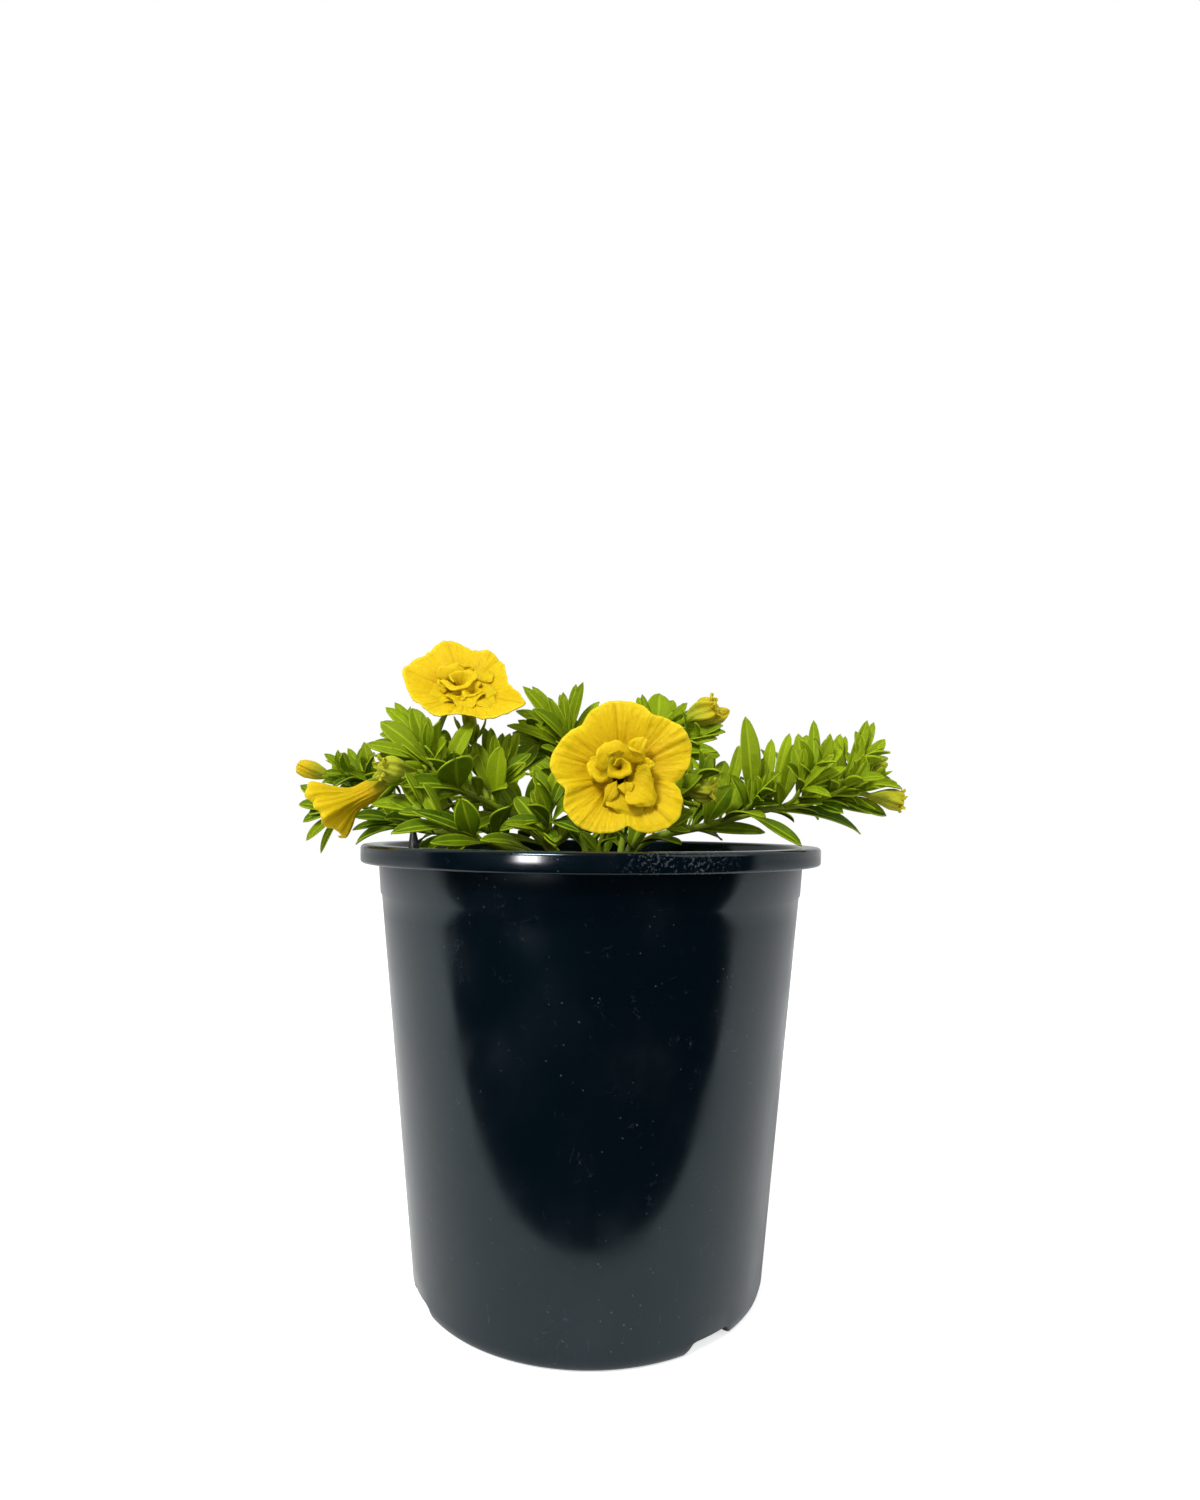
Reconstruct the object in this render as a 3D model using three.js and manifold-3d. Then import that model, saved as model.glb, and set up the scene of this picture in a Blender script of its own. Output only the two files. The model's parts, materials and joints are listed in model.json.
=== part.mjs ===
// A double-flowered calibrachoa in a round plastic nursery pot, in millimetres, +Z up.
// The origin is the middle of the pot's underside, on the surface that it stands on, and -Y is the front.
import * as THREE from "three";
import { mergeVertices } from "three/addons/utils/BufferGeometryUtils.js";
import Module from "manifold-3d";

const wasm = await Module();
wasm.setup();

// Corners this close are one, and edges this short are taken out where pieces join
const WELD = 1e-3;
const SHORT_EDGE = 0.1;

// Pot
const POT_HEIGHT = 132;
const RIM_RADIUS = 70;
const RIM_BAND = 5.3;
const RIM_ROUND = 1.2;
const WALL_TOP_RADIUS = 64.6;
const BASE_RADIUS = 53.5;
const BASE_ROUND = 3;
const WALL = 1.4;
const BASE_THICKNESS = 2;
const STEP_HEIGHT = 117.5;
const STEP_OUT = 0.35;
const POT_SEGMENTS = 48;
const NOTCH_HEIGHT = 3.6;
const NOTCH_LENGTH = 18;
const NOTCH_ANGLES = [52, 153, 240, 327];

// Soil
const GAP = 0.3;
const SOIL_TOP = 124;
const SOIL_SEGMENTS = 24;

// The slim plastic stub that stands in the soil just inside the rim, thinner towards its top
const STUB_FOOT = [-47, -37, 117];
const STUB_TOP = [-48.2, -37.2, 137.5];
const STUB_RADIUS = 1.6;
const STUB_TIP_RADIUS = 0.8;
const STUB_SIDES = 8;

// Stems and leaves
const STEM_SIDES = 5;
const STEM_STEP = 10;
const SMALL_LEAF = 3.9;
const ROOT_PAST = 0.35;
const LEAF_THICKNESS = 0.9;
const LEAF_FOLD = 0.32;
const LEAF_ARCH = 0.07;
const GOLDEN_ANGLE = THREE.MathUtils.degToRad(137.5);

// Blooms
const BLOOM_RADIUS = 18.2;
const PETAL_THICKNESS = 0.8;
const TUBE_LENGTH = 16;
const TRUMPET_LENGTH = 20;
const TUBE_RADIUS = 1.7;

const MATERIALS = {
  pot: new THREE.MeshStandardMaterial({ color: 0x0d1418, roughness: 0.28, metalness: 0 }),
  soil: new THREE.MeshStandardMaterial({ color: 0x4a2f1c, roughness: 0.95, metalness: 0 }),
  stub: new THREE.MeshStandardMaterial({ color: 0x16120f, roughness: 0.5, metalness: 0 }),
  leaf: new THREE.MeshStandardMaterial({ color: 0x6f9a1e, roughness: 0.6, metalness: 0 }),
  petal: new THREE.MeshStandardMaterial({ color: 0xf3d016, roughness: 0.55, metalness: 0 }),
};

const calibrachoa = new THREE.Group();

// Repeatable draws between 0 and 1
function draws(seed) {
  let state = seed * 2654435761 % 4294967296;
  return () => {
    state = (state * 1664525 + 1013904223) % 4294967296;
    return state / 4294967296;
  };
}

function vector(place) {
  return new THREE.Vector3(...place);
}

// A closed three.js geometry as a solid that can be joined and cut
function solid(geometry) {
  const bare = geometry.clone();
  bare.deleteAttribute("normal");
  bare.deleteAttribute("uv");
  const merged = mergeVertices(bare, WELD);
  const corners = merged.index.array;
  const kept = [];
  for (let i = 0; i < corners.length; i += 3) {
    const [a, b, c] = corners.slice(i, i + 3);
    if (a !== b && b !== c && c !== a) kept.push(a, b, c);
  }
  return new wasm.Manifold(
    new wasm.Mesh({
      numProp: 3,
      vertProperties: new Float32Array(merged.attributes.position.array),
      triVerts: new Uint32Array(kept),
    }),
  );
}

function geometryOf(shape) {
  const mesh = shape.getMesh();
  const geometry = new THREE.BufferGeometry();
  geometry.setAttribute("position", new THREE.BufferAttribute(new Float32Array(mesh.vertProperties), 3));
  geometry.setIndex(new THREE.BufferAttribute(new Uint32Array(mesh.triVerts), 1));
  return geometry;
}

function join(solids) {
  return solids.reduce((joined, next) => joined.add(next));
}

// The largest body of a solid, with its nearly equal corners welded: small scraps are dropped
// and sealed hollows are filled
function largest(joined) {
  const bodies = solid(geometryOf(joined.simplify(SHORT_EDGE))).decompose();
  return bodies.reduce((most, body) => (body.volume() > most.volume() ? body : most));
}

function addPiece(name, shape, material) {
  const piece = new THREE.Mesh(geometryOf(shape), material);
  piece.name = name;
  calibrachoa.add(piece);
}

function eachVertex(geometry, move) {
  const places = geometry.attributes.position;
  const point = new THREE.Vector3();
  for (let i = 0; i < places.count; i += 1) {
    point.fromBufferAttribute(places, i);
    move(point, i);
    places.setXYZ(i, point.x, point.y, point.z);
  }
  return geometry;
}

// A lathe about Z of [radius, height] points that go anticlockwise from the axis below to the axis above
function lathe(points, segments) {
  const geometry = new THREE.LatheGeometry(points.map(([r, z]) => new THREE.Vector2(r, z)), segments);
  return geometry.rotateX(Math.PI / 2);
}

function buildPot() {
  const slope = (WALL_TOP_RADIUS - BASE_RADIUS) / (POT_HEIGHT - RIM_BAND);
  const wallRadius = (z) => BASE_RADIUS + slope * z;
  const bandBottom = POT_HEIGHT - RIM_BAND;
  const innerTop = wallRadius(POT_HEIGHT) - WALL;
  const profile = [
    [0, 0],
    [BASE_RADIUS - BASE_ROUND, 0],
    [BASE_RADIUS - 0.25 * BASE_ROUND, 0.3 * BASE_ROUND],
    [wallRadius(BASE_ROUND), BASE_ROUND],
    [wallRadius(STEP_HEIGHT), STEP_HEIGHT],
    [wallRadius(STEP_HEIGHT) + STEP_OUT, STEP_HEIGHT + 0.8],
    [WALL_TOP_RADIUS + STEP_OUT, bandBottom],
    [RIM_RADIUS - RIM_ROUND, bandBottom],
    [RIM_RADIUS, bandBottom + RIM_ROUND],
    [RIM_RADIUS, POT_HEIGHT - RIM_ROUND],
    [RIM_RADIUS - RIM_ROUND, POT_HEIGHT],
    [innerTop + RIM_ROUND, POT_HEIGHT],
    [innerTop, POT_HEIGHT - RIM_ROUND],
    [wallRadius(BASE_THICKNESS) - WALL, BASE_THICKNESS],
    [0, BASE_THICKNESS],
  ];
  let pot = solid(lathe(profile, POT_SEGMENTS));
  for (const degrees of NOTCH_ANGLES) {
    const notch = new THREE.BoxGeometry(10, NOTCH_LENGTH, 2 * NOTCH_HEIGHT);
    eachVertex(notch, (point) => {
      if (point.z > 0) point.y *= 0.72;
    });
    notch.translate(BASE_RADIUS - 1, 0, 0);
    notch.rotateZ(THREE.MathUtils.degToRad(-degrees));
    pot = pot.subtract(solid(notch));
  }
  return pot;
}

// The soil's top lies 8 mm under the rim, with a mound on the left
function soilHeight(x, y) {
  const mound = 4 * Math.exp(-((x + 48) ** 2 + (y + 18) ** 2) / 420);
  const swell = 0.8 * Math.sin(0.13 * x + 1) * Math.cos(0.11 * y) + 0.5 * Math.sin(0.31 * x + 0.27 * y);
  return SOIL_TOP + mound + swell;
}

function buildSoil() {
  const slope = (WALL_TOP_RADIUS - BASE_RADIUS) / (POT_HEIGHT - RIM_BAND);
  const inside = (z) => BASE_RADIUS + slope * z - WALL - 1.5 * GAP;
  const bottom = BASE_THICKNESS + GAP;
  const rings = [0.97, 0.8, 0.55, 0.3];
  const profile = [
    [0, bottom],
    [inside(bottom), bottom],
    [inside(SOIL_TOP), SOIL_TOP],
    ...rings.map((part) => [part * inside(SOIL_TOP), SOIL_TOP + 0.1]),
    [0, SOIL_TOP + 0.1],
  ];
  const body = lathe(profile, SOIL_SEGMENTS);
  eachVertex(body, (point) => {
    if (point.z > SOIL_TOP + 0.05) point.z = soilHeight(point.x, point.y);
  });
  return solid(body);
}

function buildStub() {
  const along = vector(STUB_TOP).sub(vector(STUB_FOOT));
  const rod = new THREE.CylinderGeometry(STUB_TIP_RADIUS, STUB_RADIUS, along.length(), STUB_SIDES);
  rod.rotateX(Math.PI / 2).translate(0, 0, 0.5 * along.length());
  return solid(rod).transform(frameAt(STUB_FOOT, along.toArray()).elements);
}

function routeCurve(route) {
  return new THREE.CatmullRomCurve3(route.map(vector), false, "catmullrom", 0.5);
}

function tube(curve, radius, sides) {
  const outline = new THREE.Shape();
  for (let i = 0; i < sides; i += 1) {
    const turn = (2 * Math.PI * i) / sides;
    if (i === 0) outline.moveTo(radius, 0);
    else outline.lineTo(radius * Math.cos(turn), radius * Math.sin(turn));
  }
  const steps = Math.max(2, Math.round(curve.getLength() / STEM_STEP));
  return solid(new THREE.ExtrudeGeometry(outline, { steps, extrudePath: curve, bevelEnabled: false }));
}

// A folded blade from base to tip. A sphere of four sides is drawn out: its rings are the
// cross-sections, each with two edges, a groove above and a keel below.
function blade(base, tip, width, options = {}) {
  const { facing = new THREE.Vector3(0, -0.5, 0.85), roll = 0, arch = LEAF_ARCH } = options;
  const { fold = LEAF_FOLD, thickness = LEAF_THICKNESS, widest = 0.58 } = options;
  const { rings = width < SMALL_LEAF ? 3 : 4 } = options;
  const along = tip.clone().sub(base);
  const length = along.length();
  along.normalize();
  const up = facing.clone().addScaledVector(along, -facing.dot(along)).normalize();
  up.applyAxisAngle(along, roll);
  const side = new THREE.Vector3().crossVectors(along, up);
  const geometry = new THREE.SphereGeometry(1, 4, rings);
  const uv = geometry.attributes.uv;
  return solid(
    eachVertex(geometry, (point, i) => {
      const t = 1 - uv.getY(i);
      const corner = Math.round(uv.getX(i) * 4) % 4;
      const stretch = t ** (Math.log(0.5) / Math.log(widest));
      const swell = Math.sin(Math.PI * stretch) ** (t < widest ? 1.2 : 0.8);
      const half = 0.5 * width * swell;
      point.copy(base).addScaledVector(along, length * t);
      point.addScaledVector(up, 4 * arch * length * t * (1 - t));
      if (t > 0.001 && t < 0.999) {
        if (corner === 0) point.addScaledVector(side, -half).addScaledVector(up, fold * half);
        if (corner === 2) point.addScaledVector(side, half).addScaledVector(up, fold * half);
        if (corner === 1) point.addScaledVector(up, -0.75 * thickness * (0.6 + 0.4 * swell));
        if (corner === 3) point.addScaledVector(up, 0.25 * thickness);
      }
    }),
  );
}

// Everything placed so far, piece by piece, so that a later piece can be tested against it
const placed = [];

function boxesMeet(a, b) {
  return [0, 1, 2].every((i) => a.min[i] <= b.max[i] && b.min[i] <= a.max[i]);
}

function isClear(shape, node) {
  const box = shape.boundingBox();
  return placed.every(
    (other) => other.node === node || !boxesMeet(box, other.box) || other.shape.intersect(shape).numTri() === 0,
  );
}

function place(node, shape) {
  placed.push({ node, shape, box: shape.boundingBox() });
  return shape;
}

// A flower, bud or calyx points along its facing; its frame has Z along it and X level
function frameAt(centre, facing) {
  const out = vector(facing).normalize();
  const level = new THREE.Vector3(1, 0, 0).addScaledVector(out, -out.x).normalize();
  const rise = new THREE.Vector3().crossVectors(out, level);
  return new THREE.Matrix4().makeBasis(level, rise, out).setPosition(vector(centre));
}

// The outline of a bloom at an angle: broad lobes of their own lengths, a notch between each two
function outlineRadius(angle, lobes) {
  const nearness = lobes.map(([degrees, reach]) => {
    const away = Math.abs(THREE.MathUtils.euclideanModulo(angle - THREE.MathUtils.degToRad(degrees) + Math.PI,
      2 * Math.PI) - Math.PI);
    return { away, reach };
  });
  nearness.sort((a, b) => a.away - b.away);
  const [first, second] = nearness;
  const part = first.away / (first.away + second.away);
  const reach = THREE.MathUtils.lerp(first.reach, second.reach, part);
  return reach * (1 - 0.16 * (2 * part) ** 2.4);
}

// The joined petals: a narrow tube that opens into a five-lobed limb, as one thin closed skin
function corolla({ lobes, cup }) {
  const under = [
    [0, -TUBE_LENGTH],
    [TUBE_RADIUS, -TUBE_LENGTH],
    [TUBE_RADIUS + 0.4, -0.6 * TUBE_LENGTH],
    [TUBE_RADIUS + 2, -0.3 * TUBE_LENGTH],
    [0.45 * BLOOM_RADIUS, -0.14 * TUBE_LENGTH],
    [0.75 * BLOOM_RADIUS, -0.05 * TUBE_LENGTH],
  ];
  const over = [
    [0.75 * BLOOM_RADIUS, PETAL_THICKNESS - 0.05 * TUBE_LENGTH],
    [0.45 * BLOOM_RADIUS, PETAL_THICKNESS - 0.14 * TUBE_LENGTH],
    [0.2 * BLOOM_RADIUS, -0.2 * TUBE_LENGTH],
    [0, -0.22 * TUBE_LENGTH],
  ];
  const skin = lathe([...under, [BLOOM_RADIUS, 0], [BLOOM_RADIUS, PETAL_THICKNESS], ...over], 30);
  eachVertex(skin, (point) => {
    const radius = Math.hypot(point.x, point.y);
    const angle = Math.atan2(point.y, point.x);
    const out = radius / BLOOM_RADIUS;
    const limb = out ** 2;
    const reach = THREE.MathUtils.lerp(1, outlineRadius(angle, lobes) / BLOOM_RADIUS, limb);
    point.x *= reach;
    point.y *= reach;
    point.z += cup * limb + 0.7 * limb * Math.cos(10 * angle) + 0.5 * limb * Math.sin(7 * angle + 2);
  });
  return solid(skin);
}

// The small inner petals of a double bloom: rings of upright, cupped blades round the throat
function innerPetals(seed) {
  const random = draws(seed);
  const rings = [
    { count: 5, reach: 9.5, height: 3.4, width: 9 },
    { count: 4, reach: 5.8, height: 5.2, width: 7.5 },
    { count: 3, reach: 2.4, height: 6, width: 5 },
  ];
  const petals = [];
  rings.forEach(({ count, reach, height, width }, ring) => {
    for (let i = 0; i < count; i += 1) {
      const angle = (2 * Math.PI * (i + 0.35 * random())) / count + ring;
      const far = reach * (0.85 + 0.3 * random());
      const base = new THREE.Vector3(0.8 * Math.cos(angle), 0.8 * Math.sin(angle), -0.35 * TUBE_LENGTH);
      const tip = new THREE.Vector3(far * Math.cos(angle), far * Math.sin(angle), height * (0.8 + 0.4 * random()));
      const facing = new THREE.Vector3(0, 0, 1);
      const shape = { facing, roll: 0.7 * (random() - 0.5), arch: -0.12, fold: 0.35, widest: 0.7 };
      petals.push(blade(base, tip, width, { ...shape, thickness: PETAL_THICKNESS, rings: 3 }));
    }
  });
  return petals;
}

function buildBloom(name, { centre, facing, lobes, cup, seed }) {
  const frame = frameAt(centre, facing);
  const shape = join([corolla({ lobes, cup }), ...innerPetals(seed)]);
  return place(name, largest(shape.transform(frame.elements)));
}

// A bloom that is only half open: the trumpet's folded lobes hang from its lower side
function buildTrumpet(name, { centre, facing, mouth }) {
  const length = TRUMPET_LENGTH;
  const profile = [
    [0, -length],
    [1.5, -length],
    [2.1, -0.62 * length],
    [0.38 * mouth, -0.36 * length],
    [0.72 * mouth, -0.12 * length],
    [mouth, 0.06 * length],
    [0.92 * mouth, 0.1 * length],
    [0.62 * mouth, -0.06 * length],
    [0.3 * mouth, -0.3 * length],
    [0, -0.4 * length],
  ];
  const skin = lathe(profile, 25);
  eachVertex(skin, (point) => {
    const out = Math.hypot(point.x, point.y) / mouth;
    const angle = Math.atan2(point.y, point.x);
    const pleat = 1 + 0.13 * out * out * Math.cos(5 * angle);
    point.x *= pleat;
    point.y *= pleat;
    point.z += out * out * (1.2 * Math.cos(5 * angle) - 1.6 * Math.sin(angle));
  });
  return place(name, largest(solid(skin).transform(frameAt(centre, facing).elements)));
}

// A furled bud, pointed or blunt, with five pleats
function buildBud(name, { base, tip, radius, blunt = 0 }) {
  const along = vector(tip).sub(vector(base));
  const length = along.length();
  const geometry = new THREE.SphereGeometry(1, 10, 4);
  const uv = geometry.attributes.uv;
  eachVertex(geometry, (point, i) => {
    const t = 1 - uv.getY(i);
    const turn = 2 * Math.PI * uv.getX(i);
    const swell = 0.16 + Math.sin(Math.PI * Math.min(t, 0.999) ** 1.6) * 0.84 + blunt * t * t;
    const pleat = 1 + 0.2 * t * Math.cos(5 * turn);
    const ring = t > 0.001 && t < 0.999 ? radius * swell * pleat : 0;
    point.set(ring * Math.cos(turn + 0.8 * t), -ring * Math.sin(turn + 0.8 * t), length * t);
  });
  return place(name, solid(geometry).transform(frameAt(base, along.toArray()).elements));
}

const BLOOMS = {
  bloom_front: {
    centre: [8, -52, 152],
    facing: [0.03, -0.96, 0.27],
    lobes: [[93, 16.6], [26, 18.8], [-48, 18.3], [-121, 17.6], [168, 17.2]],
    cup: -0.6,
    seed: 11,
  },
  bloom_upper_left: {
    centre: [-38, -14, 178],
    facing: [-0.05, -0.62, 0.79],
    lobes: [[107, 18.8], [48, 17], [-25, 19.6], [-92, 16.6], [190, 17.6]],
    cup: 1.6,
    seed: 23,
  },
};
const TRUMPET = { centre: [-75, -26, 141], facing: [-0.85, -0.22, -0.47], mouth: 9 };
const BUDS = {
  bud_left: { base: [-80, 4, 152], tip: [-93, 0, 156], radius: 2.2, blunt: 0.5 },
  bud_front_left: { base: [-48, -34, 153], tip: [-57, -41, 153], radius: 3.2 },
  bud_upper_right: { base: [26, -1, 169], tip: [39, -6, 175], radius: 3.6, blunt: 0.4 },
  bud_upper_right_back: { base: [34, 8, 170], tip: [45, 10, 176], radius: 2.4 },
  bud_right: { base: [24, -27, 148], tip: [35, -30, 148], radius: 3 },
  bud_far_right: { base: [81, -11, 148], tip: [94, -12, 146], radius: 2, blunt: 0.9 },
  bud_right_small: { base: [85, -5, 154], tip: [92, -4, 158], radius: 1.3 },
  bud_back: { base: [-22, 50, 158], tip: [-24, 60, 166], radius: 2.6 },
  bud_back_right: { base: [32, 46, 152], tip: [40, 56, 157], radius: 2.4 },
};

// Each leafy stem stands in the soil at the first place of its route. A leaf is a row of its root
// (a part of the branch's length), its tip and its width. A branch may also bear leaves by rule
// all round it, and carries a calyx where it ends in a flower or a bud.
const STEMS = {
  stem_right: [
    {
      route: [[6, -6, 117], [9, -7, 126], [18, -10, 134], [34, -12, 138], [52, -12, 143], [65, -10, 145], [78, -8, 149]],
      radius: 1.2,
      leaves: [
        [0.5, 41, -18, 150, 5.5], [0.56, 45, -6, 152, 6], [0.5, 42, -2, 159, 5], [0.63, 46, -14, 171, 4.8],
        [0.62, 49, -6, 170, 4.2], [0.62, 52, -12, 159, 3.6], [0.66, 55, -8, 165, 3], [0.68, 61, -6, 167, 2.8],
        [0.45, 39, 2, 162, 3.5], [0.54, 48, 6, 165, 3], [0.72, 61, -12, 163, 4.2], [0.62, 61, -22, 133, 3.2],
        [0.66, 87, 4, 137, 4.5], [0.68, 74, 8, 141, 4], [0.46, 54, -6, 137, 3.2], [0.72, 55, -18, 151, 3],
        [0.42, 29, -16, 142, 4], [0.46, 36, 0, 149, 4.4], [0.57, 50, 2, 151, 4.4], [0.8, 65, -2, 168, 3.5],
        [0.82, 69, 4, 168, 4.2], [0.86, 70, 0, 172, 3.2], [0.89, 77, 6, 169, 2.4], [0.92, 79, 2, 168, 3.2],
        [0.94, 82, 6, 168, 2.6], [0.96, 87, 0, 172, 2.8], [0.97, 91, 6, 172, 2.6], [0.98, 92, -2, 166, 3.4],
        [0.99, 96, 6, 162, 2.8], [0.99, 92, 0, 159, 3], [0.98, 85, -12, 159, 3.9], [0.96, 74, -8, 165, 3.4],
        [0.99, 92, -12, 152, 2.8], [0.97, 78, -20, 150, 3.2], [0.94, 90, -9, 142, 3.6], [0.88, 87, -4, 143, 4],
        [0.86, 75, -15, 143, 3.4], [0.82, 66, -22, 147, 5.4], [0.83, 77, -18, 152, 3],
      ],
      byRule: { count: 7, from: 0.3, to: 0.9, length: 15 },
    },
    { route: [[77, -8, 149], [79, -9, 148.6]], radius: 0.8, flower: "bud_far_right" },
    { route: [[77, -8, 149], [83, -5, 153]], radius: 0.6, flower: "bud_right_small" },
    {
      route: [[58, -11, 144], [60, -16, 146], [61, -20, 149]],
      radius: 0.7,
      leaves: [[0.96, 61, -24, 161, 2.2], [0.95, 69, -26, 159, 2.2], [0.94, 74, -21, 156, 2.2], [0.93, 67, -30, 147, 2.2],
        [0.92, 58, -29, 152, 2.2]],
    },
  ],
  stem_left: [
    {
      route: [[-6, -9, 117], [-8, -10, 126], [-16, -14, 136], [-29, -20, 144], [-38, -26, 148], [-43, -28, 152],
        [-46, -28, 157]],
      radius: 1.2,
      leaves: [
        [0.95, -62, -34, 160, 2.8], [0.95, -62, -24, 162, 2.6], [0.93, -60, -32, 157, 2.4],
        [0.93, -59, -30, 167, 4.7], [0.96, -59, -24, 172, 3], [0.97, -58, -18, 174, 2.6], [0.98, -58, -14, 171, 2.4],
        [0.96, -62, -20, 165, 2.4], [0.97, -51, -26, 171, 4.3], [0.98, -47, -32, 169, 2.2], [0.99, -46, -30, 168, 3.3],
        [0.99, -45, -36, 166, 1.8], [0.92, -40, -36, 161, 6], [0.66, -36, -42, 156, 8.5], [0.6, -50, -42, 149, 4.8],
        [0.78, -34, -24, 168, 3.8], [0.75, -33, -16, 162, 4.8],
      ],
      byRule: { count: 8, from: 0.3, to: 0.9, length: 15 },
    },
    {
      route: [[-29, -20, 144], [-28, -19, 148], [-27, -17, 152]],
      radius: 0.9,
      leaves: [
        [0.3, -34, -20, 162, 4.1], [0.6, -32, -14, 167, 2.7], [0.7, -30, -16, 167, 2.8], [0.75, -28, -24, 164, 3],
        [0.85, -27, -12, 166, 2.5], [0.85, -24, -18, 165, 2.7], [0.8, -22, -14, 166, 3.6], [0.7, -19, -22, 156, 3],
        [0.6, -17, -8, 163, 6.6], [0.5, -14, -4, 161, 4.6], [0.3, -24, -28, 149, 3.4], [0.5, -19, -22, 153, 3],
      ],
      byRule: { count: 2, from: 0.4, to: 1, length: 12 },
    },
    { route: [[-42, -28, 151], [-46, -32, 152.6]], radius: 0.8, flower: "bud_front_left" },
    { route: [[-30, -21, 145], [-33, -14, 153], [-36, -6, 160]], radius: 0.8, flower: "bloom_upper_left" },
    { route: [[-38, -26, 148], [-46, -22, 151]], radius: 0.8, flower: "bloom_half_open" },
  ],
  stem_left_back: [
    {
      route: [[-12, 6, 117], [-15, 6, 126], [-34, 7, 136], [-53, 10, 144], [-68, 8, 148], [-78, 5, 151]],
      radius: 1,
      leaves: [
        [0.94, -84, 0, 160, 2.8], [0.88, -82, 10, 161, 2.9], [0.85, -81, 14, 163, 2.2], [0.82, -73, 4, 164, 3.5],
        [0.76, -78, -4, 156, 2.4],
      ],
      byRule: { count: 12, from: 0.3, to: 0.95, length: 15 },
    },
    { route: [[-76, 5.5, 150.4], [-79, 4.5, 151.5]], radius: 0.7, flower: "bud_left" },
  ],
  stem_left_trailing: [
    {
      route: [[-14, -2, 117], [-17, -2, 126], [-38, -2, 134], [-54, 0, 136], [-70, -1, 140], [-80, -3, 142]],
      radius: 1,
      leaves: [
        [0.98, -91, -2, 150, 3.2], [0.99, -90, -6, 144, 3.4], [0.98, -88, -8, 139, 2.8], [0.96, -87, -8, 133, 2.4],
        [0.95, -84, -4, 129, 2], [0.68, -70, -14, 141, 4], [0.64, -72, -10, 137, 2.4], [0.6, -70, -20, 136, 4.4],
        [0.54, -59, -20, 143, 3.6],
      ],
      byRule: { count: 8, from: 0.3, to: 0.95, length: 15 },
    },
  ],
  stem_left_low: [
    {
      route: [[-8, -18, 117], [-10, -20, 126], [-25, -30, 132], [-34, -37, 135], [-42, -39, 139], [-48, -38, 143]],
      radius: 1,
      leaves: [
        [0.55, -34, -44, 145, 5.4], [0.72, -52, -34, 150, 4], [0.8, -57, -30, 146, 3.4], [0.85, -62, -28, 144, 3.4],
        [0.7, -52, -46, 136, 3.2], [0.5, -46, -46, 142, 2.8], [0.45, -41, -50, 133.6, 2.8], [0.74, -47, -36, 149, 3.4],
        [0.3, -28, -50, 134.6, 3.6],
      ],
      byRule: { count: 5, from: 0.35, to: 0.98, length: 14 },
    },
  ],
  stem_front_low: [
    {
      route: [[-4, -24, 117], [-5, -26, 126], [-12, -36, 133], [-11, -41, 138], [-11, -42, 144]],
      radius: 0.9,
      leaves: [
        [0.85, -14, -46, 149, 3.6], [0.86, -9, -37, 154, 3.6], [0.7, -16, -50, 144, 2], [0.65, -22, -50, 139, 2.2],
        [0.55, -21, -30, 146, 5], [0.66, -9, -50, 133.5, 2.8], [0.8, -3, -46, 137, 2.8], [0.8, -24, -44, 137, 3.4],
      ],
      byRule: { count: 5, from: 0.35, to: 1, length: 13 },
    },
  ],
  stem_centre_back: [
    {
      route: [[0, 5, 117], [-1, 5, 126], [-4, 3, 140], [-6, 1, 152], [-7, -3, 164]],
      radius: 1.1,
      leaves: [
        [0.93, -25, -10, 169, 2.8], [0.94, -23, -2, 171, 2.8], [0.95, -24, 2, 175, 3.6], [0.96, -21, -6, 181, 3.4],
        [0.97, -19, 2, 182, 3], [0.97, -17, -13, 173, 4.4], [0.98, -13, -8, 177, 2.6], [0.98, -10, -2, 179, 2.8],
        [0.99, -9, -6, 179, 3.1], [0.99, -5, -4, 182, 2.8], [1, -3, -7, 182, 2.7], [0.97, 2, -2, 177, 2.8],
        [0.85, -14, -17, 162, 3],
      ],
      byRule: { count: 9, from: 0.3, to: 0.95, length: 15 },
    },
  ],
  stem_right_back: [
    {
      route: [[8, 4, 117], [9, 5, 126], [12, 6, 141], [17, 4, 154], [20, 2, 164]],
      radius: 1.1,
      leaves: [
        [0.95, 15, 8, 180, 3.9], [0.97, 16, 2, 180, 2.4], [0.97, 22, 6, 181, 6.6], [0.98, 27, 12, 180, 4.6],
        [0.99, 30, 0, 177, 2.6], [0.97, 40, -9, 168, 3.7], [0.94, 37, -14, 161, 3.6], [0.92, 32, -18, 155, 3.5],
      ],
      byRule: { count: 9, from: 0.3, to: 0.95, length: 15 },
    },
    { route: [[19.6, 2, 163], [22, 0, 167]], radius: 0.8, flower: "bud_upper_right" },
    { route: [[18.5, 3, 160], [26, 7, 166]], radius: 0.7, flower: "bud_upper_right_back" },
  ],
  stem_front_right: [
    {
      route: [[8, -14, 117], [9, -16, 126], [14, -24, 134], [18, -27, 141], [21, -27, 146]],
      radius: 0.9,
      leaves: [
        [0.6, 28, -34, 142, 4.4], [0.7, 27, -35, 137, 3.4], [0.85, 31, -33, 154, 3.4], [0.8, 34, -22, 150, 3],
      ],
      byRule: { count: 6, from: 0.3, to: 0.9, length: 13 },
    },
    { route: [[20.6, -27, 145.4], [21.5, -27, 147.4]], radius: 0.8, flower: "bud_right" },
  ],
  stem_front: [
    {
      route: [[2, -20, 117], [2, -21, 126], [4, -27, 137], [7, -32, 144]],
      radius: 1,
      byRule: { count: 4, from: 0.3, to: 0.8, length: 11 },
      flower: "bloom_front",
    },
  ],
  stem_back: [
    {
      route: [[0, 16, 117], [0, 18, 126], [-4, 28, 140], [-8, 40, 150], [-12, 50, 155]],
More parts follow.
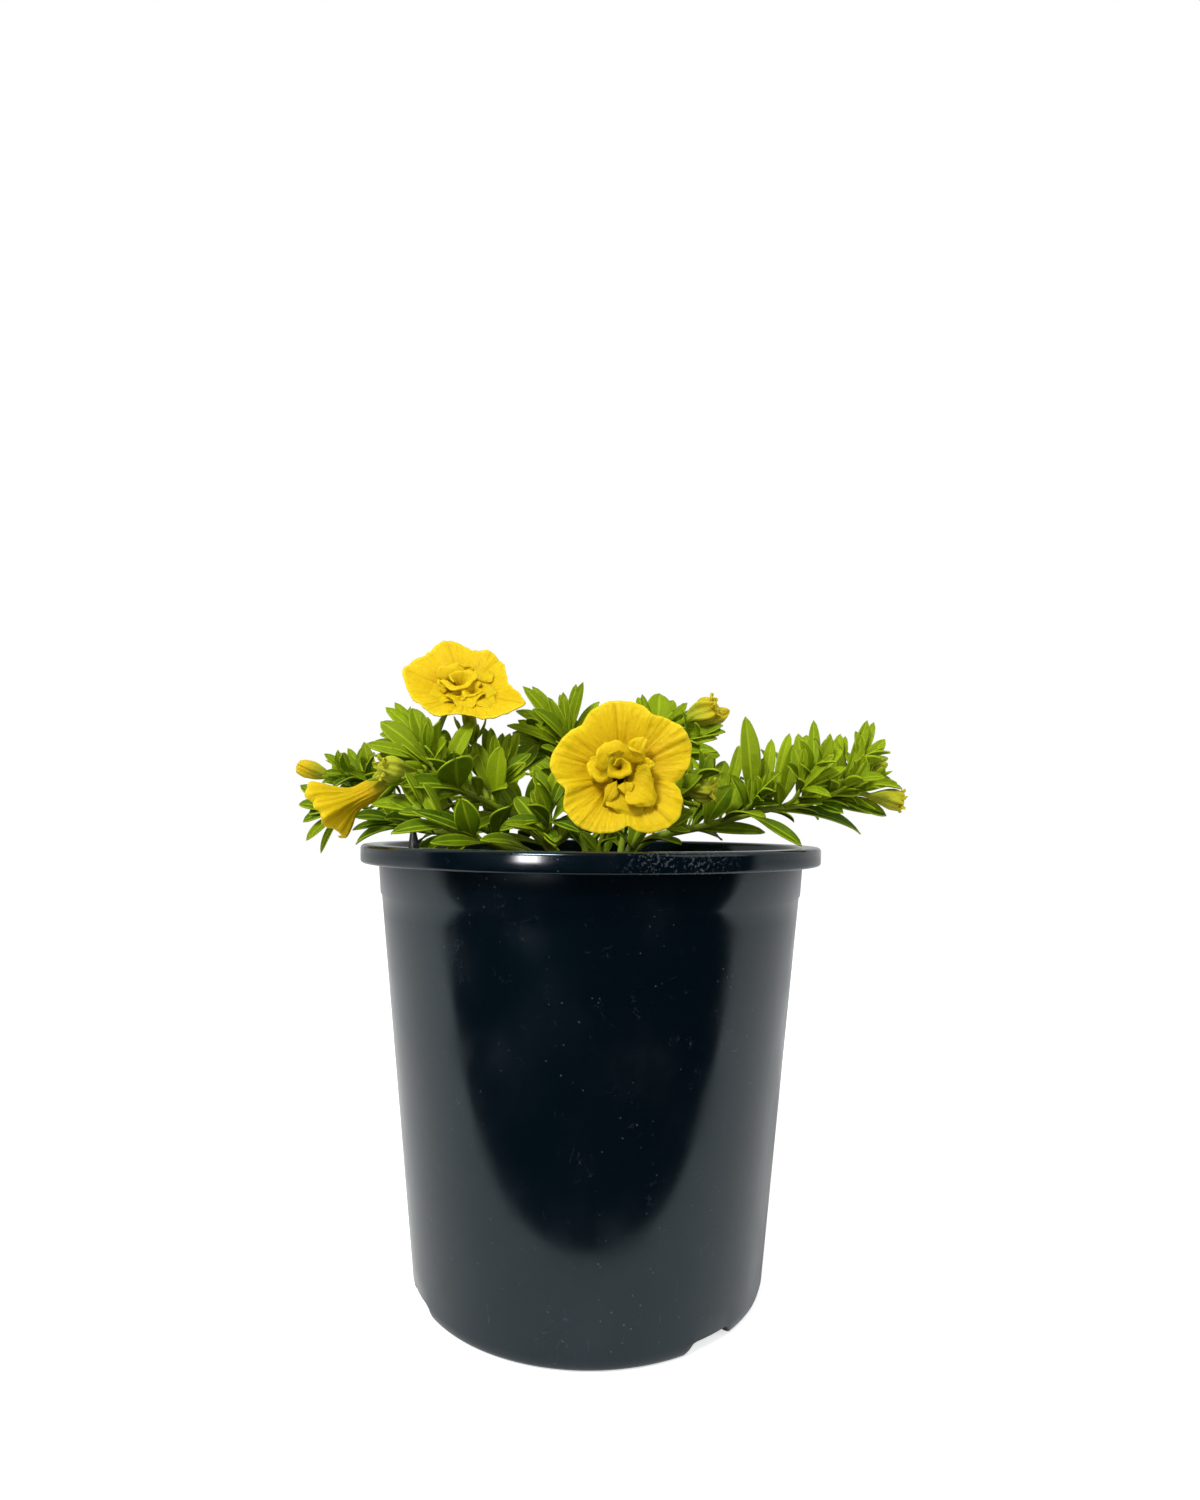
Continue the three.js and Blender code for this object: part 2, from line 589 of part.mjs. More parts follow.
      radius: 1.1,
      byRule: { count: 17, from: 0.25, to: 1, length: 18 },
    },
    { route: [[-12, 49, 154.6], [-20, 48, 156]], radius: 0.7, flower: "bud_back" },
  ],
  stem_back_left: [
    {
      route: [[-9, 14, 117], [-11, 16, 126], [-24, 28, 138], [-38, 38, 146], [-48, 44, 150]],
      radius: 1.1,
      byRule: { count: 15, from: 0.25, to: 1, length: 18 },
    },
  ],
  stem_back_right: [
    {
      route: [[9, 13, 117], [11, 15, 126], [18, 25, 139], [26, 36, 147], [30, 44, 150]],
      radius: 1.1,
      byRule: { count: 14, from: 0.25, to: 0.97, length: 17 },
      flower: "bud_back_right",
    },
  ],
};

const SEPALS = 5;
const SEPAL_LENGTH = 9;
const SEPAL_WIDTH = 2.2;
const RECEPTACLE = 1.5;

// Where each flower sits: the middle of its receptacle and the way that it points
function seatOf(flower) {
  const bud = BUDS[flower];
  if (bud) {
    const facing = vector(bud.tip).sub(vector(bud.base)).normalize();
    return { centre: vector(bud.base).addScaledVector(facing, -RECEPTACLE - GAP), facing };
  }
  const bloom = BLOOMS[flower] ?? TRUMPET;
  const length = BLOOMS[flower] ? TUBE_LENGTH : TRUMPET_LENGTH;
  const facing = vector(bloom.facing).normalize();
  return { centre: vector(bloom.centre).addScaledVector(facing, -length - RECEPTACLE - GAP), facing };
}

// Sepals stand round the flower's seat and arch outwards over the foot of its tube
function calyx(node, flower) {
  const { centre, facing } = seatOf(flower);
  const frame = frameAt(centre.toArray(), facing.toArray());
  const parts = [solid(new THREE.SphereGeometry(RECEPTACLE, 5, 3)).transform(frame.elements)];
  for (let i = 0; i < SEPALS; i += 1) {
    const angle = (2 * Math.PI * (i + 0.25)) / SEPALS;
    const out = new THREE.Vector3(Math.cos(angle), Math.sin(angle), 0);
    const base = out.clone().multiplyScalar(0.5);
    const tip = out.clone().multiplyScalar(5).setZ(SEPAL_LENGTH);
    const sepal = blade(base, tip, SEPAL_WIDTH, { facing: out.clone().negate(), arch: -0.1, thickness: 0.7 });
    const turned = sepal.transform(frame.elements);
    if (isClear(turned, node)) parts.push(place(node, turned));
  }
  place(node, parts[0]);
  return parts;
}

// The few ways that a leaf is bent, in turn, until it is clear of its neighbours
function bends() {
  const ways = [[0, 0]];
  for (const reach of [10, 20, 32]) {
    for (let i = 0; i < 8; i += 1) {
      ways.push([reach * Math.cos((Math.PI * i) / 4), reach * Math.sin((Math.PI * i) / 4)]);
    }
  }
  return ways;
}

function clearLeaf(node, middle, tip, width, options) {
  const base = middle.clone().addScaledVector(tip.clone().sub(middle).normalize(), -ROOT_PAST);
  const along = tip.clone().sub(base);
  const facing = new THREE.Vector3(0, -0.5, 0.85);
  const side = new THREE.Vector3().crossVectors(along, facing).normalize();
  const up = new THREE.Vector3().crossVectors(side, along).normalize();
  let best = null;
  let fewest = Infinity;
  for (const [turn, lift] of bends()) {
    const bent = along.clone().applyAxisAngle(up, THREE.MathUtils.degToRad(turn));
    bent.applyAxisAngle(side, THREE.MathUtils.degToRad(lift));
    const end = base.clone().add(bent);
    const wide = blade(base, end, width + 2 * GAP, { ...options, thickness: LEAF_THICKNESS + GAP });
    if (!isClear(wide, node)) continue;
    const leaf = blade(base, end, width, options);
    const outer = blade(base.clone().lerp(end, 0.4), end, width, options);
    const crossings = placed.filter(
      (other) => other.node === node && boxesMeet(outer.boundingBox(), other.box)
        && other.shape.intersect(outer).numTri() > 0,
    ).length;
    if (crossings < fewest) {
      fewest = crossings;
      best = leaf;
    }
    if (crossings === 0) break;
  }
  return best && place(node, best);
}

// Leaves all round a branch at the golden angle, longest in the middle and closest to it at the tip
function leavesByRule({ count, from, to, length }, curve, random) {
  const rows = [];
  for (let i = 0; i < count; i += 1) {
    const part = (i + 0.5) / count;
    const t = THREE.MathUtils.lerp(from, to, part ** 0.8);
    const along = curve.getTangent(t);
    const level = new THREE.Vector3(-along.y, along.x, 0).normalize();
    const out = level.applyAxisAngle(along, i * GOLDEN_ANGLE + random());
    const lean = THREE.MathUtils.degToRad(THREE.MathUtils.lerp(68, 34, part));
    const reach = length * (1.15 - 0.45 * part) * (0.85 + 0.3 * random());
    const way = along.multiplyScalar(Math.cos(lean)).addScaledVector(out, Math.sin(lean));
    way.z += 0.35;
    const tip = curve.getPoint(t).addScaledVector(way.normalize(), reach);
    rows.push([t, ...tip.toArray(), reach * (0.22 + 0.06 * random())]);
  }
  return rows;
}

// A plain hole for a foot, along its own line and a gap wider and deeper
function rootHole(curve, radius) {
  return tube(curve, radius + 2 * GAP, STEM_SIDES).translate([0, 0, -GAP]);
}

const stemShapes = {};

addPiece("pot", place("pot", buildPot()), MATERIALS.pot);
for (const [name, bloom] of Object.entries(BLOOMS)) addPiece(name, buildBloom(name, bloom), MATERIALS.petal);
addPiece("bloom_half_open", buildTrumpet("bloom_half_open", TRUMPET), MATERIALS.petal);
for (const [name, bud] of Object.entries(BUDS)) addPiece(name, buildBud(name, bud), MATERIALS.petal);
addPiece("plastic_stub", place("plastic_stub", buildStub()), MATERIALS.stub);

// The stems' lines come first, each with its hole in the soil
let soil = buildSoil().subtract(rootHole(routeCurve([STUB_FOOT, STUB_TOP]), STUB_RADIUS));
for (const [name, branches] of Object.entries(STEMS)) {
  stemShapes[name] = branches.map(({ route, radius, flower }, i) => {
    const curve = routeCurve(flower ? [...route, seatOf(flower).centre.toArray()] : route);
    if (i === 0) soil = soil.subtract(rootHole(curve, radius));
    return place(name, tube(curve, radius, STEM_SIDES));
  });
}
soil = place("potting_soil", largest(soil));
addPiece("potting_soil", soil, MATERIALS.soil);

for (const [name, branches] of Object.entries(STEMS)) {
  for (const { flower } of branches) if (flower) stemShapes[name].push(...calyx(name, flower));
}

function bearLeaf(name, curve, [t, x, y, z, width], options) {
  const leaf = clearLeaf(name, curve.getPoint(t), new THREE.Vector3(x, y, z), width, options);
  if (leaf) stemShapes[name].push(leaf);
}

// The leaves placed one by one go first, then those by rule fill in round them
for (const [name, branches] of Object.entries(STEMS)) {
  for (const { route, leaves } of branches) {
    for (const row of leaves ?? []) bearLeaf(name, routeCurve(route), row, {});
  }
}
Object.entries(STEMS).forEach(([name, branches], seed) => {
  const random = draws(seed + 1);
  for (const { route, byRule } of branches) {
    if (!byRule) continue;
    const curve = routeCurve(route);
    for (const row of leavesByRule(byRule, curve, random)) {
      bearLeaf(name, curve, row, { roll: 0.9 * (random() - 0.5) });
    }
  }
});
for (const [name, parts] of Object.entries(stemShapes)) addPiece(name, largest(join(parts)), MATERIALS.leaf);

export default calibrachoa;
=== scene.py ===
"""A double-flowered calibrachoa in its nursery pot: its looks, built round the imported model."""

import json
import math

import bmesh
import bpy
from bpy.props import FloatProperty, FloatVectorProperty, IntProperty, PointerProperty
from mathutils import Matrix, Vector, noise
from mathutils.bvhtree import BVHTree

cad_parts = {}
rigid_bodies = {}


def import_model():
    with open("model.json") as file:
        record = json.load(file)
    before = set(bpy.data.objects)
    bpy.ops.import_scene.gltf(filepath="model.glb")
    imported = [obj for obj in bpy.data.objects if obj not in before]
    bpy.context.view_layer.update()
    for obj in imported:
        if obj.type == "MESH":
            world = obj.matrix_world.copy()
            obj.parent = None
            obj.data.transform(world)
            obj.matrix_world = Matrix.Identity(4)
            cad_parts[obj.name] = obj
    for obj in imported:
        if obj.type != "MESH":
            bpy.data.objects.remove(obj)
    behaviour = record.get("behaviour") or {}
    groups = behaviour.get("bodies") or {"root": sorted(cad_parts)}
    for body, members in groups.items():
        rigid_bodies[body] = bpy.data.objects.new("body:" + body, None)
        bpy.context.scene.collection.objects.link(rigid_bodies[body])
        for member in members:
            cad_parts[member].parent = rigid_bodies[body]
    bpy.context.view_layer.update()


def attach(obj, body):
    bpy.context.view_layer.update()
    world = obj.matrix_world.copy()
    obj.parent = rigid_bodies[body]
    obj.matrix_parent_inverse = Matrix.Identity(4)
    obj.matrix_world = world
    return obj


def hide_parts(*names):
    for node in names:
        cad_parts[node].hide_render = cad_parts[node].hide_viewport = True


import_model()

bl_info = {
    "name": "Potted calibrachoa",
    "version": (1, 0, 0),
    "blender": (4, 5, 0),
    "location": "3D View > Sidebar > Calibrachoa",
    "description": "Builds a double calibrachoa in a round nursery pot on a studio floor",
    "category": "Add Mesh",
}

# Everything is modelled in millimetres and brought to metres as a piece is finished
MM = 0.001
GOLDEN_ANGLE = math.radians(137.5)
UP = Vector((0, -0.5, 0.85))
FORWARD = Vector((0, -0.82, 0.57))

# Flowers and buds: places in millimetres, angles in degrees round the flower's own axis
BLOOMS = {
  "bloom_front": {
    "centre": [8, -52, 152],
    "facing": [0.03, -0.96, 0.27],
    "lobes": [[93, 16.6], [26, 18.8], [-48, 18.3], [-121, 17.6], [168, 17.2]],
    "cup": -0.6,
    "seed": 11,
  },
  "bloom_upper_left": {
    "centre": [-38, -14, 178],
    "facing": [-0.05, -0.62, 0.79],
    "lobes": [[107, 18.8], [48, 17], [-25, 19.6], [-92, 16.6], [190, 17.6]],
    "cup": 1.6,
    "seed": 23,
  },
}
TRUMPET = { "centre": [-75, -26, 141], "facing": [-0.85, -0.22, -0.47], "mouth": 9 }
BUDS = {
  "bud_left": { "base": [-80, 4, 152], "tip": [-93, 0, 156], "radius": 2.2, "blunt": 0.5, "ripe": 0.75 },
  "bud_front_left": { "base": [-48, -34, 153], "tip": [-57, -41, 153], "radius": 3.2, "ripe": 0.16 },
  "bud_upper_right": { "base": [26, -1, 169], "tip": [39, -6, 175], "radius": 3.6, "blunt": 0.4, "ripe": 0.5 },
  "bud_upper_right_back": { "base": [34, 8, 170], "tip": [45, 10, 176], "radius": 2.4, "ripe": 0.6 },
  "bud_right": { "base": [24, -27, 148], "tip": [35, -30, 148], "radius": 3, "ripe": 0.22 },
  "bud_far_right": { "base": [81, -11, 148], "tip": [94, -12, 146], "radius": 2, "blunt": 0.9, "ripe": 0.35 },
  "bud_right_small": { "base": [85, -5, 154], "tip": [92, -4, 158], "radius": 1.3, "ripe": 0.3 },
  "bud_back": { "base": [-22, 50, 158], "tip": [-24, 60, 166], "radius": 2.6, "ripe": 0.5 },
  "bud_back_right": { "base": [32, 46, 152], "tip": [40, 56, 157], "radius": 2.4, "ripe": 0.4 },
}

# Leafy stems: a leaf is its root along the branch, its tip and its width
STEMS = {
  "stem_right": [
    {
      "route": [[6, -6, 117], [9, -7, 126], [18, -10, 134], [34, -12, 138], [52, -12, 143], [65, -10, 145], [78, -8, 149]],
      "radius": 1.2,
      "leaves": [
        [0.5, 41, -18, 150, 5.5], [0.56, 45, -6, 152, 6], [0.5, 42, -2, 159, 5], [0.63, 46, -14, 171, 4.8],
        [0.62, 49, -6, 170, 4.2], [0.62, 52, -12, 159, 3.6], [0.66, 55, -8, 165, 3], [0.68, 61, -6, 167, 2.8],
        [0.45, 39, 2, 162, 3.5], [0.54, 48, 6, 165, 3], [0.72, 61, -12, 163, 4.2], [0.62, 61, -22, 133, 3.2],
        [0.66, 87, 4, 137, 4.5], [0.68, 74, 8, 141, 4], [0.46, 54, -6, 137, 3.2], [0.72, 55, -18, 151, 3],
        [0.42, 29, -16, 142, 4], [0.46, 36, 0, 149, 4.4], [0.57, 50, 2, 151, 4.4], [0.8, 65, -2, 168, 3.5],
        [0.82, 69, 4, 168, 4.2], [0.86, 70, 0, 172, 3.2], [0.89, 77, 6, 169, 2.4], [0.92, 79, 2, 168, 3.2],
        [0.94, 82, 6, 168, 2.6], [0.96, 87, 0, 172, 2.8], [0.97, 91, 6, 172, 2.6], [0.98, 92, -2, 166, 3.4],
        [0.99, 96, 6, 162, 2.8], [0.99, 92, 0, 159, 3], [0.98, 85, -12, 159, 3.9], [0.96, 74, -8, 165, 3.4],
        [0.99, 92, -12, 152, 2.8], [0.97, 78, -20, 150, 3.2], [0.94, 90, -9, 142, 3.6], [0.88, 87, -4, 143, 4],
        [0.86, 75, -15, 143, 3.4], [0.82, 66, -22, 147, 5.4], [0.83, 77, -18, 152, 3],
      ],
      "by_rule": { "count": 7, "from": 0.3, "to": 0.9, "length": 15 },
    },
    { "route": [[77, -8, 149], [79, -9, 148.6]], "radius": 0.8, "flower": "bud_far_right" },
    { "route": [[77, -8, 149], [83, -5, 153]], "radius": 0.6, "flower": "bud_right_small" },
    {
      "route": [[58, -11, 144], [60, -16, 146], [61, -20, 149]],
      "radius": 0.7,
      "leaves": [[0.96, 61, -24, 161, 2.2], [0.95, 69, -26, 159, 2.2], [0.94, 74, -21, 156, 2.2], [0.93, 67, -30, 147, 2.2],
        [0.92, 58, -29, 152, 2.2]],
    },
  ],
  "stem_left": [
    {
      "route": [[-6, -9, 117], [-8, -10, 126], [-16, -14, 136], [-29, -20, 144], [-38, -26, 148], [-43, -28, 152],
        [-46, -28, 157]],
      "radius": 1.2,
      "leaves": [
        [0.95, -62, -34, 160, 2.8], [0.95, -62, -24, 162, 2.6], [0.93, -60, -32, 157, 2.4],
        [0.93, -59, -30, 167, 4.7], [0.96, -59, -24, 172, 3], [0.97, -58, -18, 174, 2.6], [0.98, -58, -14, 171, 2.4],
        [0.96, -62, -20, 165, 2.4], [0.97, -51, -26, 171, 4.3], [0.98, -47, -32, 169, 2.2], [0.99, -46, -30, 168, 3.3],
        [0.99, -45, -36, 166, 1.8], [0.92, -40, -36, 161, 6], [0.66, -36, -42, 156, 8.5], [0.6, -50, -42, 149, 4.8],
        [0.78, -34, -24, 168, 3.8], [0.75, -33, -16, 162, 4.8],
      ],
      "by_rule": { "count": 8, "from": 0.3, "to": 0.9, "length": 15 },
    },
    {
      "route": [[-29, -20, 144], [-28, -19, 148], [-27, -17, 152]],
      "radius": 0.9,
      "leaves": [
        [0.3, -34, -20, 162, 4.1], [0.6, -32, -14, 167, 2.7], [0.7, -30, -16, 167, 2.8], [0.75, -28, -24, 164, 3],
        [0.85, -27, -12, 166, 2.5], [0.85, -24, -18, 165, 2.7], [0.8, -22, -14, 166, 3.6], [0.7, -19, -22, 156, 3],
        [0.6, -17, -8, 163, 6.6], [0.5, -14, -4, 161, 4.6], [0.3, -24, -28, 149, 3.4], [0.5, -19, -22, 153, 3],
      ],
      "by_rule": { "count": 2, "from": 0.4, "to": 1, "length": 12 },
    },
    { "route": [[-42, -28, 151], [-46, -32, 152.6]], "radius": 0.8, "flower": "bud_front_left" },
    { "route": [[-30, -21, 145], [-33, -14, 153], [-36, -6, 160]], "radius": 0.8, "flower": "bloom_upper_left" },
    { "route": [[-38, -26, 148], [-46, -22, 151]], "radius": 0.8, "flower": "bloom_half_open" },
  ],
  "stem_left_back": [
    {
      "route": [[-12, 6, 117], [-15, 6, 126], [-34, 7, 136], [-53, 10, 144], [-68, 8, 148], [-78, 5, 151]],
      "radius": 1,
      "leaves": [
        [0.94, -84, 0, 160, 2.8], [0.88, -82, 10, 161, 2.9], [0.85, -81, 14, 163, 2.2], [0.82, -73, 4, 164, 3.5],
        [0.76, -78, -4, 156, 2.4],
      ],
      "by_rule": { "count": 12, "from": 0.3, "to": 0.95, "length": 15 },
    },
    { "route": [[-76, 5.5, 150.4], [-79, 4.5, 151.5]], "radius": 0.7, "flower": "bud_left" },
  ],
  "stem_left_trailing": [
    {
      "route": [[-14, -2, 117], [-17, -2, 126], [-38, -2, 134], [-54, 0, 136], [-70, -1, 140], [-80, -3, 142]],
      "radius": 1,
      "leaves": [
        [0.98, -91, -2, 150, 3.2], [0.99, -90, -6, 144, 3.4], [0.98, -88, -8, 139, 2.8], [0.96, -87, -8, 133, 2.4],
        [0.95, -84, -4, 129, 2], [0.68, -70, -14, 141, 4], [0.64, -72, -10, 137, 2.4], [0.6, -70, -20, 136, 4.4],
        [0.54, -59, -20, 143, 3.6],
      ],
      "by_rule": { "count": 8, "from": 0.3, "to": 0.95, "length": 15 },
    },
  ],
  "stem_left_low": [
    {
      "route": [[-8, -18, 117], [-10, -20, 126], [-25, -30, 132], [-34, -37, 135], [-42, -39, 139], [-48, -38, 143]],
      "radius": 1,
      "leaves": [
        [0.55, -34, -44, 145, 5.4], [0.72, -52, -34, 150, 4], [0.8, -57, -30, 146, 3.4], [0.85, -62, -28, 144, 3.4],
        [0.7, -52, -46, 136, 3.2], [0.5, -46, -46, 142, 2.8], [0.45, -41, -50, 133.6, 2.8], [0.74, -47, -36, 149, 3.4],
        [0.3, -28, -50, 134.6, 3.6],
      ],
      "by_rule": { "count": 5, "from": 0.35, "to": 0.98, "length": 14 },
    },
  ],
  "stem_front_low": [
    {
      "route": [[-4, -24, 117], [-5, -26, 126], [-12, -36, 133], [-11, -41, 138], [-11, -42, 144]],
      "radius": 0.9,
      "leaves": [
        [0.85, -14, -46, 149, 3.6], [0.86, -9, -37, 154, 3.6], [0.7, -16, -50, 144, 2], [0.65, -22, -50, 139, 2.2],
        [0.55, -21, -30, 146, 5], [0.66, -9, -50, 133.5, 2.8], [0.8, -3, -46, 137, 2.8], [0.8, -24, -44, 137, 3.4],
      ],
      "by_rule": { "count": 5, "from": 0.35, "to": 1, "length": 13 },
    },
  ],
  "stem_centre_back": [
    {
      "route": [[0, 5, 117], [-1, 5, 126], [-4, 3, 140], [-6, 1, 152], [-7, -3, 164]],
      "radius": 1.1,
      "leaves": [
        [0.93, -25, -10, 169, 2.8], [0.94, -23, -2, 171, 2.8], [0.95, -24, 2, 175, 3.6], [0.96, -21, -6, 181, 3.4],
        [0.97, -19, 2, 182, 3], [0.97, -17, -13, 173, 4.4], [0.98, -13, -8, 177, 2.6], [0.98, -10, -2, 179, 2.8],
        [0.99, -9, -6, 179, 3.1], [0.99, -5, -4, 182, 2.8], [1, -3, -7, 182, 2.7], [0.97, 2, -2, 177, 2.8],
        [0.85, -14, -17, 162, 3],
      ],
      "by_rule": { "count": 9, "from": 0.3, "to": 0.95, "length": 15 },
    },
  ],
  "stem_right_back": [
    {
      "route": [[8, 4, 117], [9, 5, 126], [12, 6, 141], [17, 4, 154], [20, 2, 164]],
      "radius": 1.1,
      "leaves": [
        [0.95, 15, 8, 180, 3.9], [0.97, 16, 2, 180, 2.4], [0.97, 22, 6, 181, 6.6], [0.98, 27, 12, 180, 4.6],
        [0.99, 30, 0, 177, 2.6], [0.97, 40, -9, 168, 3.7], [0.94, 37, -14, 161, 3.6], [0.92, 32, -18, 155, 3.5],
      ],
      "by_rule": { "count": 9, "from": 0.3, "to": 0.95, "length": 15 },
    },
    { "route": [[19.6, 2, 163], [22, 0, 167]], "radius": 0.8, "flower": "bud_upper_right" },
    { "route": [[18.5, 3, 160], [26, 7, 166]], "radius": 0.7, "flower": "bud_upper_right_back" },
  ],
  "stem_front_right": [
    {
      "route": [[8, -14, 117], [9, -16, 126], [14, -24, 134], [18, -27, 141], [21, -27, 146]],
      "radius": 0.9,
      "leaves": [
        [0.6, 28, -34, 142, 4.4], [0.7, 27, -35, 137, 3.4], [0.85, 31, -33, 154, 3.4], [0.8, 34, -22, 150, 3],
      ],
      "by_rule": { "count": 6, "from": 0.3, "to": 0.9, "length": 13 },
    },
    { "route": [[20.6, -27, 145.4], [21.5, -27, 147.4]], "radius": 0.8, "flower": "bud_right" },
  ],
  "stem_front": [
    {
      "route": [[2, -20, 117], [2, -21, 126], [4, -27, 137], [7, -32, 144]],
      "radius": 1,
      "by_rule": { "count": 4, "from": 0.3, "to": 0.8, "length": 11 },
      "flower": "bloom_front",
    },
  ],
  "stem_back": [
    {
      "route": [[0, 16, 117], [0, 18, 126], [-4, 28, 140], [-8, 40, 150], [-12, 50, 155]],
      "radius": 1.1,
      "by_rule": { "count": 17, "from": 0.25, "to": 1, "length": 18 },
    },
    { "route": [[-12, 49, 154.6], [-20, 48, 156]], "radius": 0.7, "flower": "bud_back" },
  ],
  "stem_back_left": [
    {
      "route": [[-9, 14, 117], [-11, 16, 126], [-24, 28, 138], [-38, 38, 146], [-48, 44, 150]],
      "radius": 1.1,
      "by_rule": { "count": 15, "from": 0.25, "to": 1, "length": 18 },
    },
  ],
  "stem_back_right": [
    {
      "route": [[9, 13, 117], [11, 15, 126], [18, 25, 139], [26, 36, 147], [30, 44, 150]],
      "radius": 1.1,
      "by_rule": { "count": 14, "from": 0.25, "to": 0.97, "length": 17 },
      "flower": "bud_back_right",
    },
  ],
}

# Side shoots that crowd round the stems' ends, each with the stem that bears it
SHOOTS = {
    "stem_right": (
        {"route": ((60, -11, 144), (63, -14, 150), (66, -20, 156)), "count": 10, "length": 13},
        {"route": ((72, -9, 147), (78, -7, 153), (83, -5, 158)), "count": 10, "length": 14},
        {"route": ((66, -10, 145), (72, -14, 148), (78, -17, 152)), "count": 9, "length": 12},
        {"route": ((74, -9, 148), (80, -9, 150), (86, -9, 152)), "count": 8, "length": 11},
        {"route": ((50, -12, 143), (54, -8, 150), (59, -6, 157)), "count": 8, "length": 12},
        {"route": ((30, -8, 137), (36, -3, 142), (42, 2, 147)), "count": 12, "length": 13},
        {"route": ((44, -10, 141), (47, -14, 144), (50, -18, 147)), "count": 9, "length": 11},
    ),
    "stem_right_back": (
        {"route": ((22, 0, 154), (27, -3, 160), (32, -6, 165)), "count": 11, "length": 12},
    ),
    "stem_front_right": (
        {"route": ((21, -27, 144), (26, -28, 148), (31, -29, 152)), "count": 9, "length": 12},
    ),
    "stem_left": (
        {"route": ((-38, -20, 148), (-46, -17, 155), (-53, -14, 162)), "count": 12, "length": 15},
        {"route": ((-34, -20, 147), (-38, -20, 152), (-42, -22, 157)), "count": 8, "length": 13},
    ),
    "stem_centre_back": (
        {"route": ((-9, 9, 150), (-11, 9, 159), (-13, 8, 167)), "count": 12, "length": 16},
        {"route": ((-7, 3, 152), (-12, 2, 160), (-17, 0, 166)), "count": 12, "length": 12},
    ),
    "stem_left_trailing": (
        {"route": ((-66, 6, 148), (-72, 3, 151), (-78, 0, 154)), "count": 9, "length": 12},
    ),
}


class CalibrachoaSizes(bpy.types.PropertyGroup):
    """Sizes of the pot, the leaves and the petals"""

    pot_height: FloatProperty(name="Pot height", description="From the floor to the top of the rim",
                              default=0.132, unit="LENGTH")
    rim_radius: FloatProperty(name="Rim radius", description="Outside of the rim band",
                              default=0.070, unit="LENGTH")
    rim_band: FloatProperty(name="Rim band", description="Height of the rim band",
                            default=0.0053, unit="LENGTH")
    wall_top_radius: FloatProperty(name="Wall radius under the rim", description="Outside of the wall",
                                   default=0.0646, unit="LENGTH")
    base_radius: FloatProperty(name="Base radius", description="Outside of the wall at the floor",
                               default=0.0535, unit="LENGTH")
    leaf_thickness: FloatProperty(name="Leaf thickness", description="Thickness of a leaf blade",
                                  default=0.00045, unit="LENGTH")
    petal_thickness: FloatProperty(name="Petal thickness", description="Thickness of a petal",
                                   default=0.0004, unit="LENGTH")
    extra_leaves: IntProperty(name="Extra leaves", description="Leaves by rule for each one in the solids",
                              default=2, min=1, max=4)


class CalibrachoaColours(bpy.types.PropertyGroup):
    """Colours of the plant, the pot and the soil"""

    leaf_dark: FloatVectorProperty(name="Old leaf", description="Shaded green of the older leaves",
                                   subtype="COLOR", size=3, default=(0.034, 0.086, 0.001))
    leaf_light: FloatVectorProperty(name="Young leaf", description="Yellow green of the young leaves",
                                    subtype="COLOR", size=3, default=(0.235, 0.328, 0.003))
    leaf_rib: FloatVectorProperty(name="Rib", description="Pale midrib and hairy edge",
                                  subtype="COLOR", size=3, default=(0.34, 0.44, 0.014))
    stem: FloatVectorProperty(name="Stem", description="Green of the stems",
                              subtype="COLOR", size=3, default=(0.17, 0.24, 0.02))
    petal: FloatVectorProperty(name="Petal", description="Yellow of the open petals",
                               subtype="COLOR", size=3, default=(0.67, 0.46, 0.004))
    # The throat's deeper yellow, also used as painted shade at the petals' roots
    petal_throat_and_root_shade: FloatVectorProperty(name="Petal throat", description="Deeper yellow of veins and throat",
                                    subtype="COLOR", size=3, default=(0.56, 0.33, 0.001))
    bud_green: FloatVectorProperty(name="Bud foot", description="Olive at the foot of tubes and buds",
                                   subtype="COLOR", size=3, default=(0.36, 0.42, 0.025))
    pot: FloatVectorProperty(name="Pot", description="Black of the pot's plastic",
                             subtype="COLOR", size=3, default=(0.0008, 0.0035, 0.006))
    soil: FloatVectorProperty(name="Soil", description="Brown of the potting mix",
                              subtype="COLOR", size=3, default=(0.075, 0.036, 0.018))


def sizes():
    return bpy.context.scene.calibrachoa_sizes


def colours():
    return bpy.context.scene.calibrachoa_colours


# Shared helpers


def draws(seed):
    """Repeatable draws between 0 and 1"""
    state = seed * 2654435761 % 4294967296
    while True:
        state = (state * 1664525 + 1013904223) % 4294967296
        yield state / 4294967296


def lerp(a, b, part):
    return a + (b - a) * part


def smooth(low, high, value):
    part = min(max((value - low) / (high - low), 0), 1)
    return part * part * (3 - 2 * part)


class Route:
    """A smooth line through given places"""

    def __init__(self, places):
        self.places = [Vector(place) for place in places]

    def at(self, t):
        last = len(self.places) - 1
        part = min(max(t, 0), 1) * last
        i = min(int(part), last - 1)
        w = part - i
        b, c = self.places[i], self.places[i + 1]
        a = self.places[i - 1] if i else 2 * b - c
        d = self.places[i + 2] if i + 2 <= last else 2 * c - b
        start, end = (c - a) / 2, (d - b) / 2
        return b + start * w + (3 * (c - b) - 2 * start - end) * w ** 2 + (2 * (b - c) + start + end) * w ** 3

    def along(self, t):
        return (self.at(min(t + 0.001, 1)) - self.at(max(t - 0.001, 0))).normalized()


def frame_at(centre, facing):
    """Z along the facing, X level"""
    out = Vector(facing).normalized()
    level = (Vector((1, 0, 0)) - out * out.x).normalized()
    rise = out.cross(level)
    matrix = Matrix((level, rise, out)).transposed().to_4x4()
    matrix.translation = Vector(centre)
    return matrix


def layers(bm):
    """Across and along a blade from 0 to 1, its tone and its folds, kept for its material"""
    names = ("across", "along", "tone", "fold")
    return [bm.verts.layers.float.get(name) or bm.verts.layers.float.new(name) for name in names]


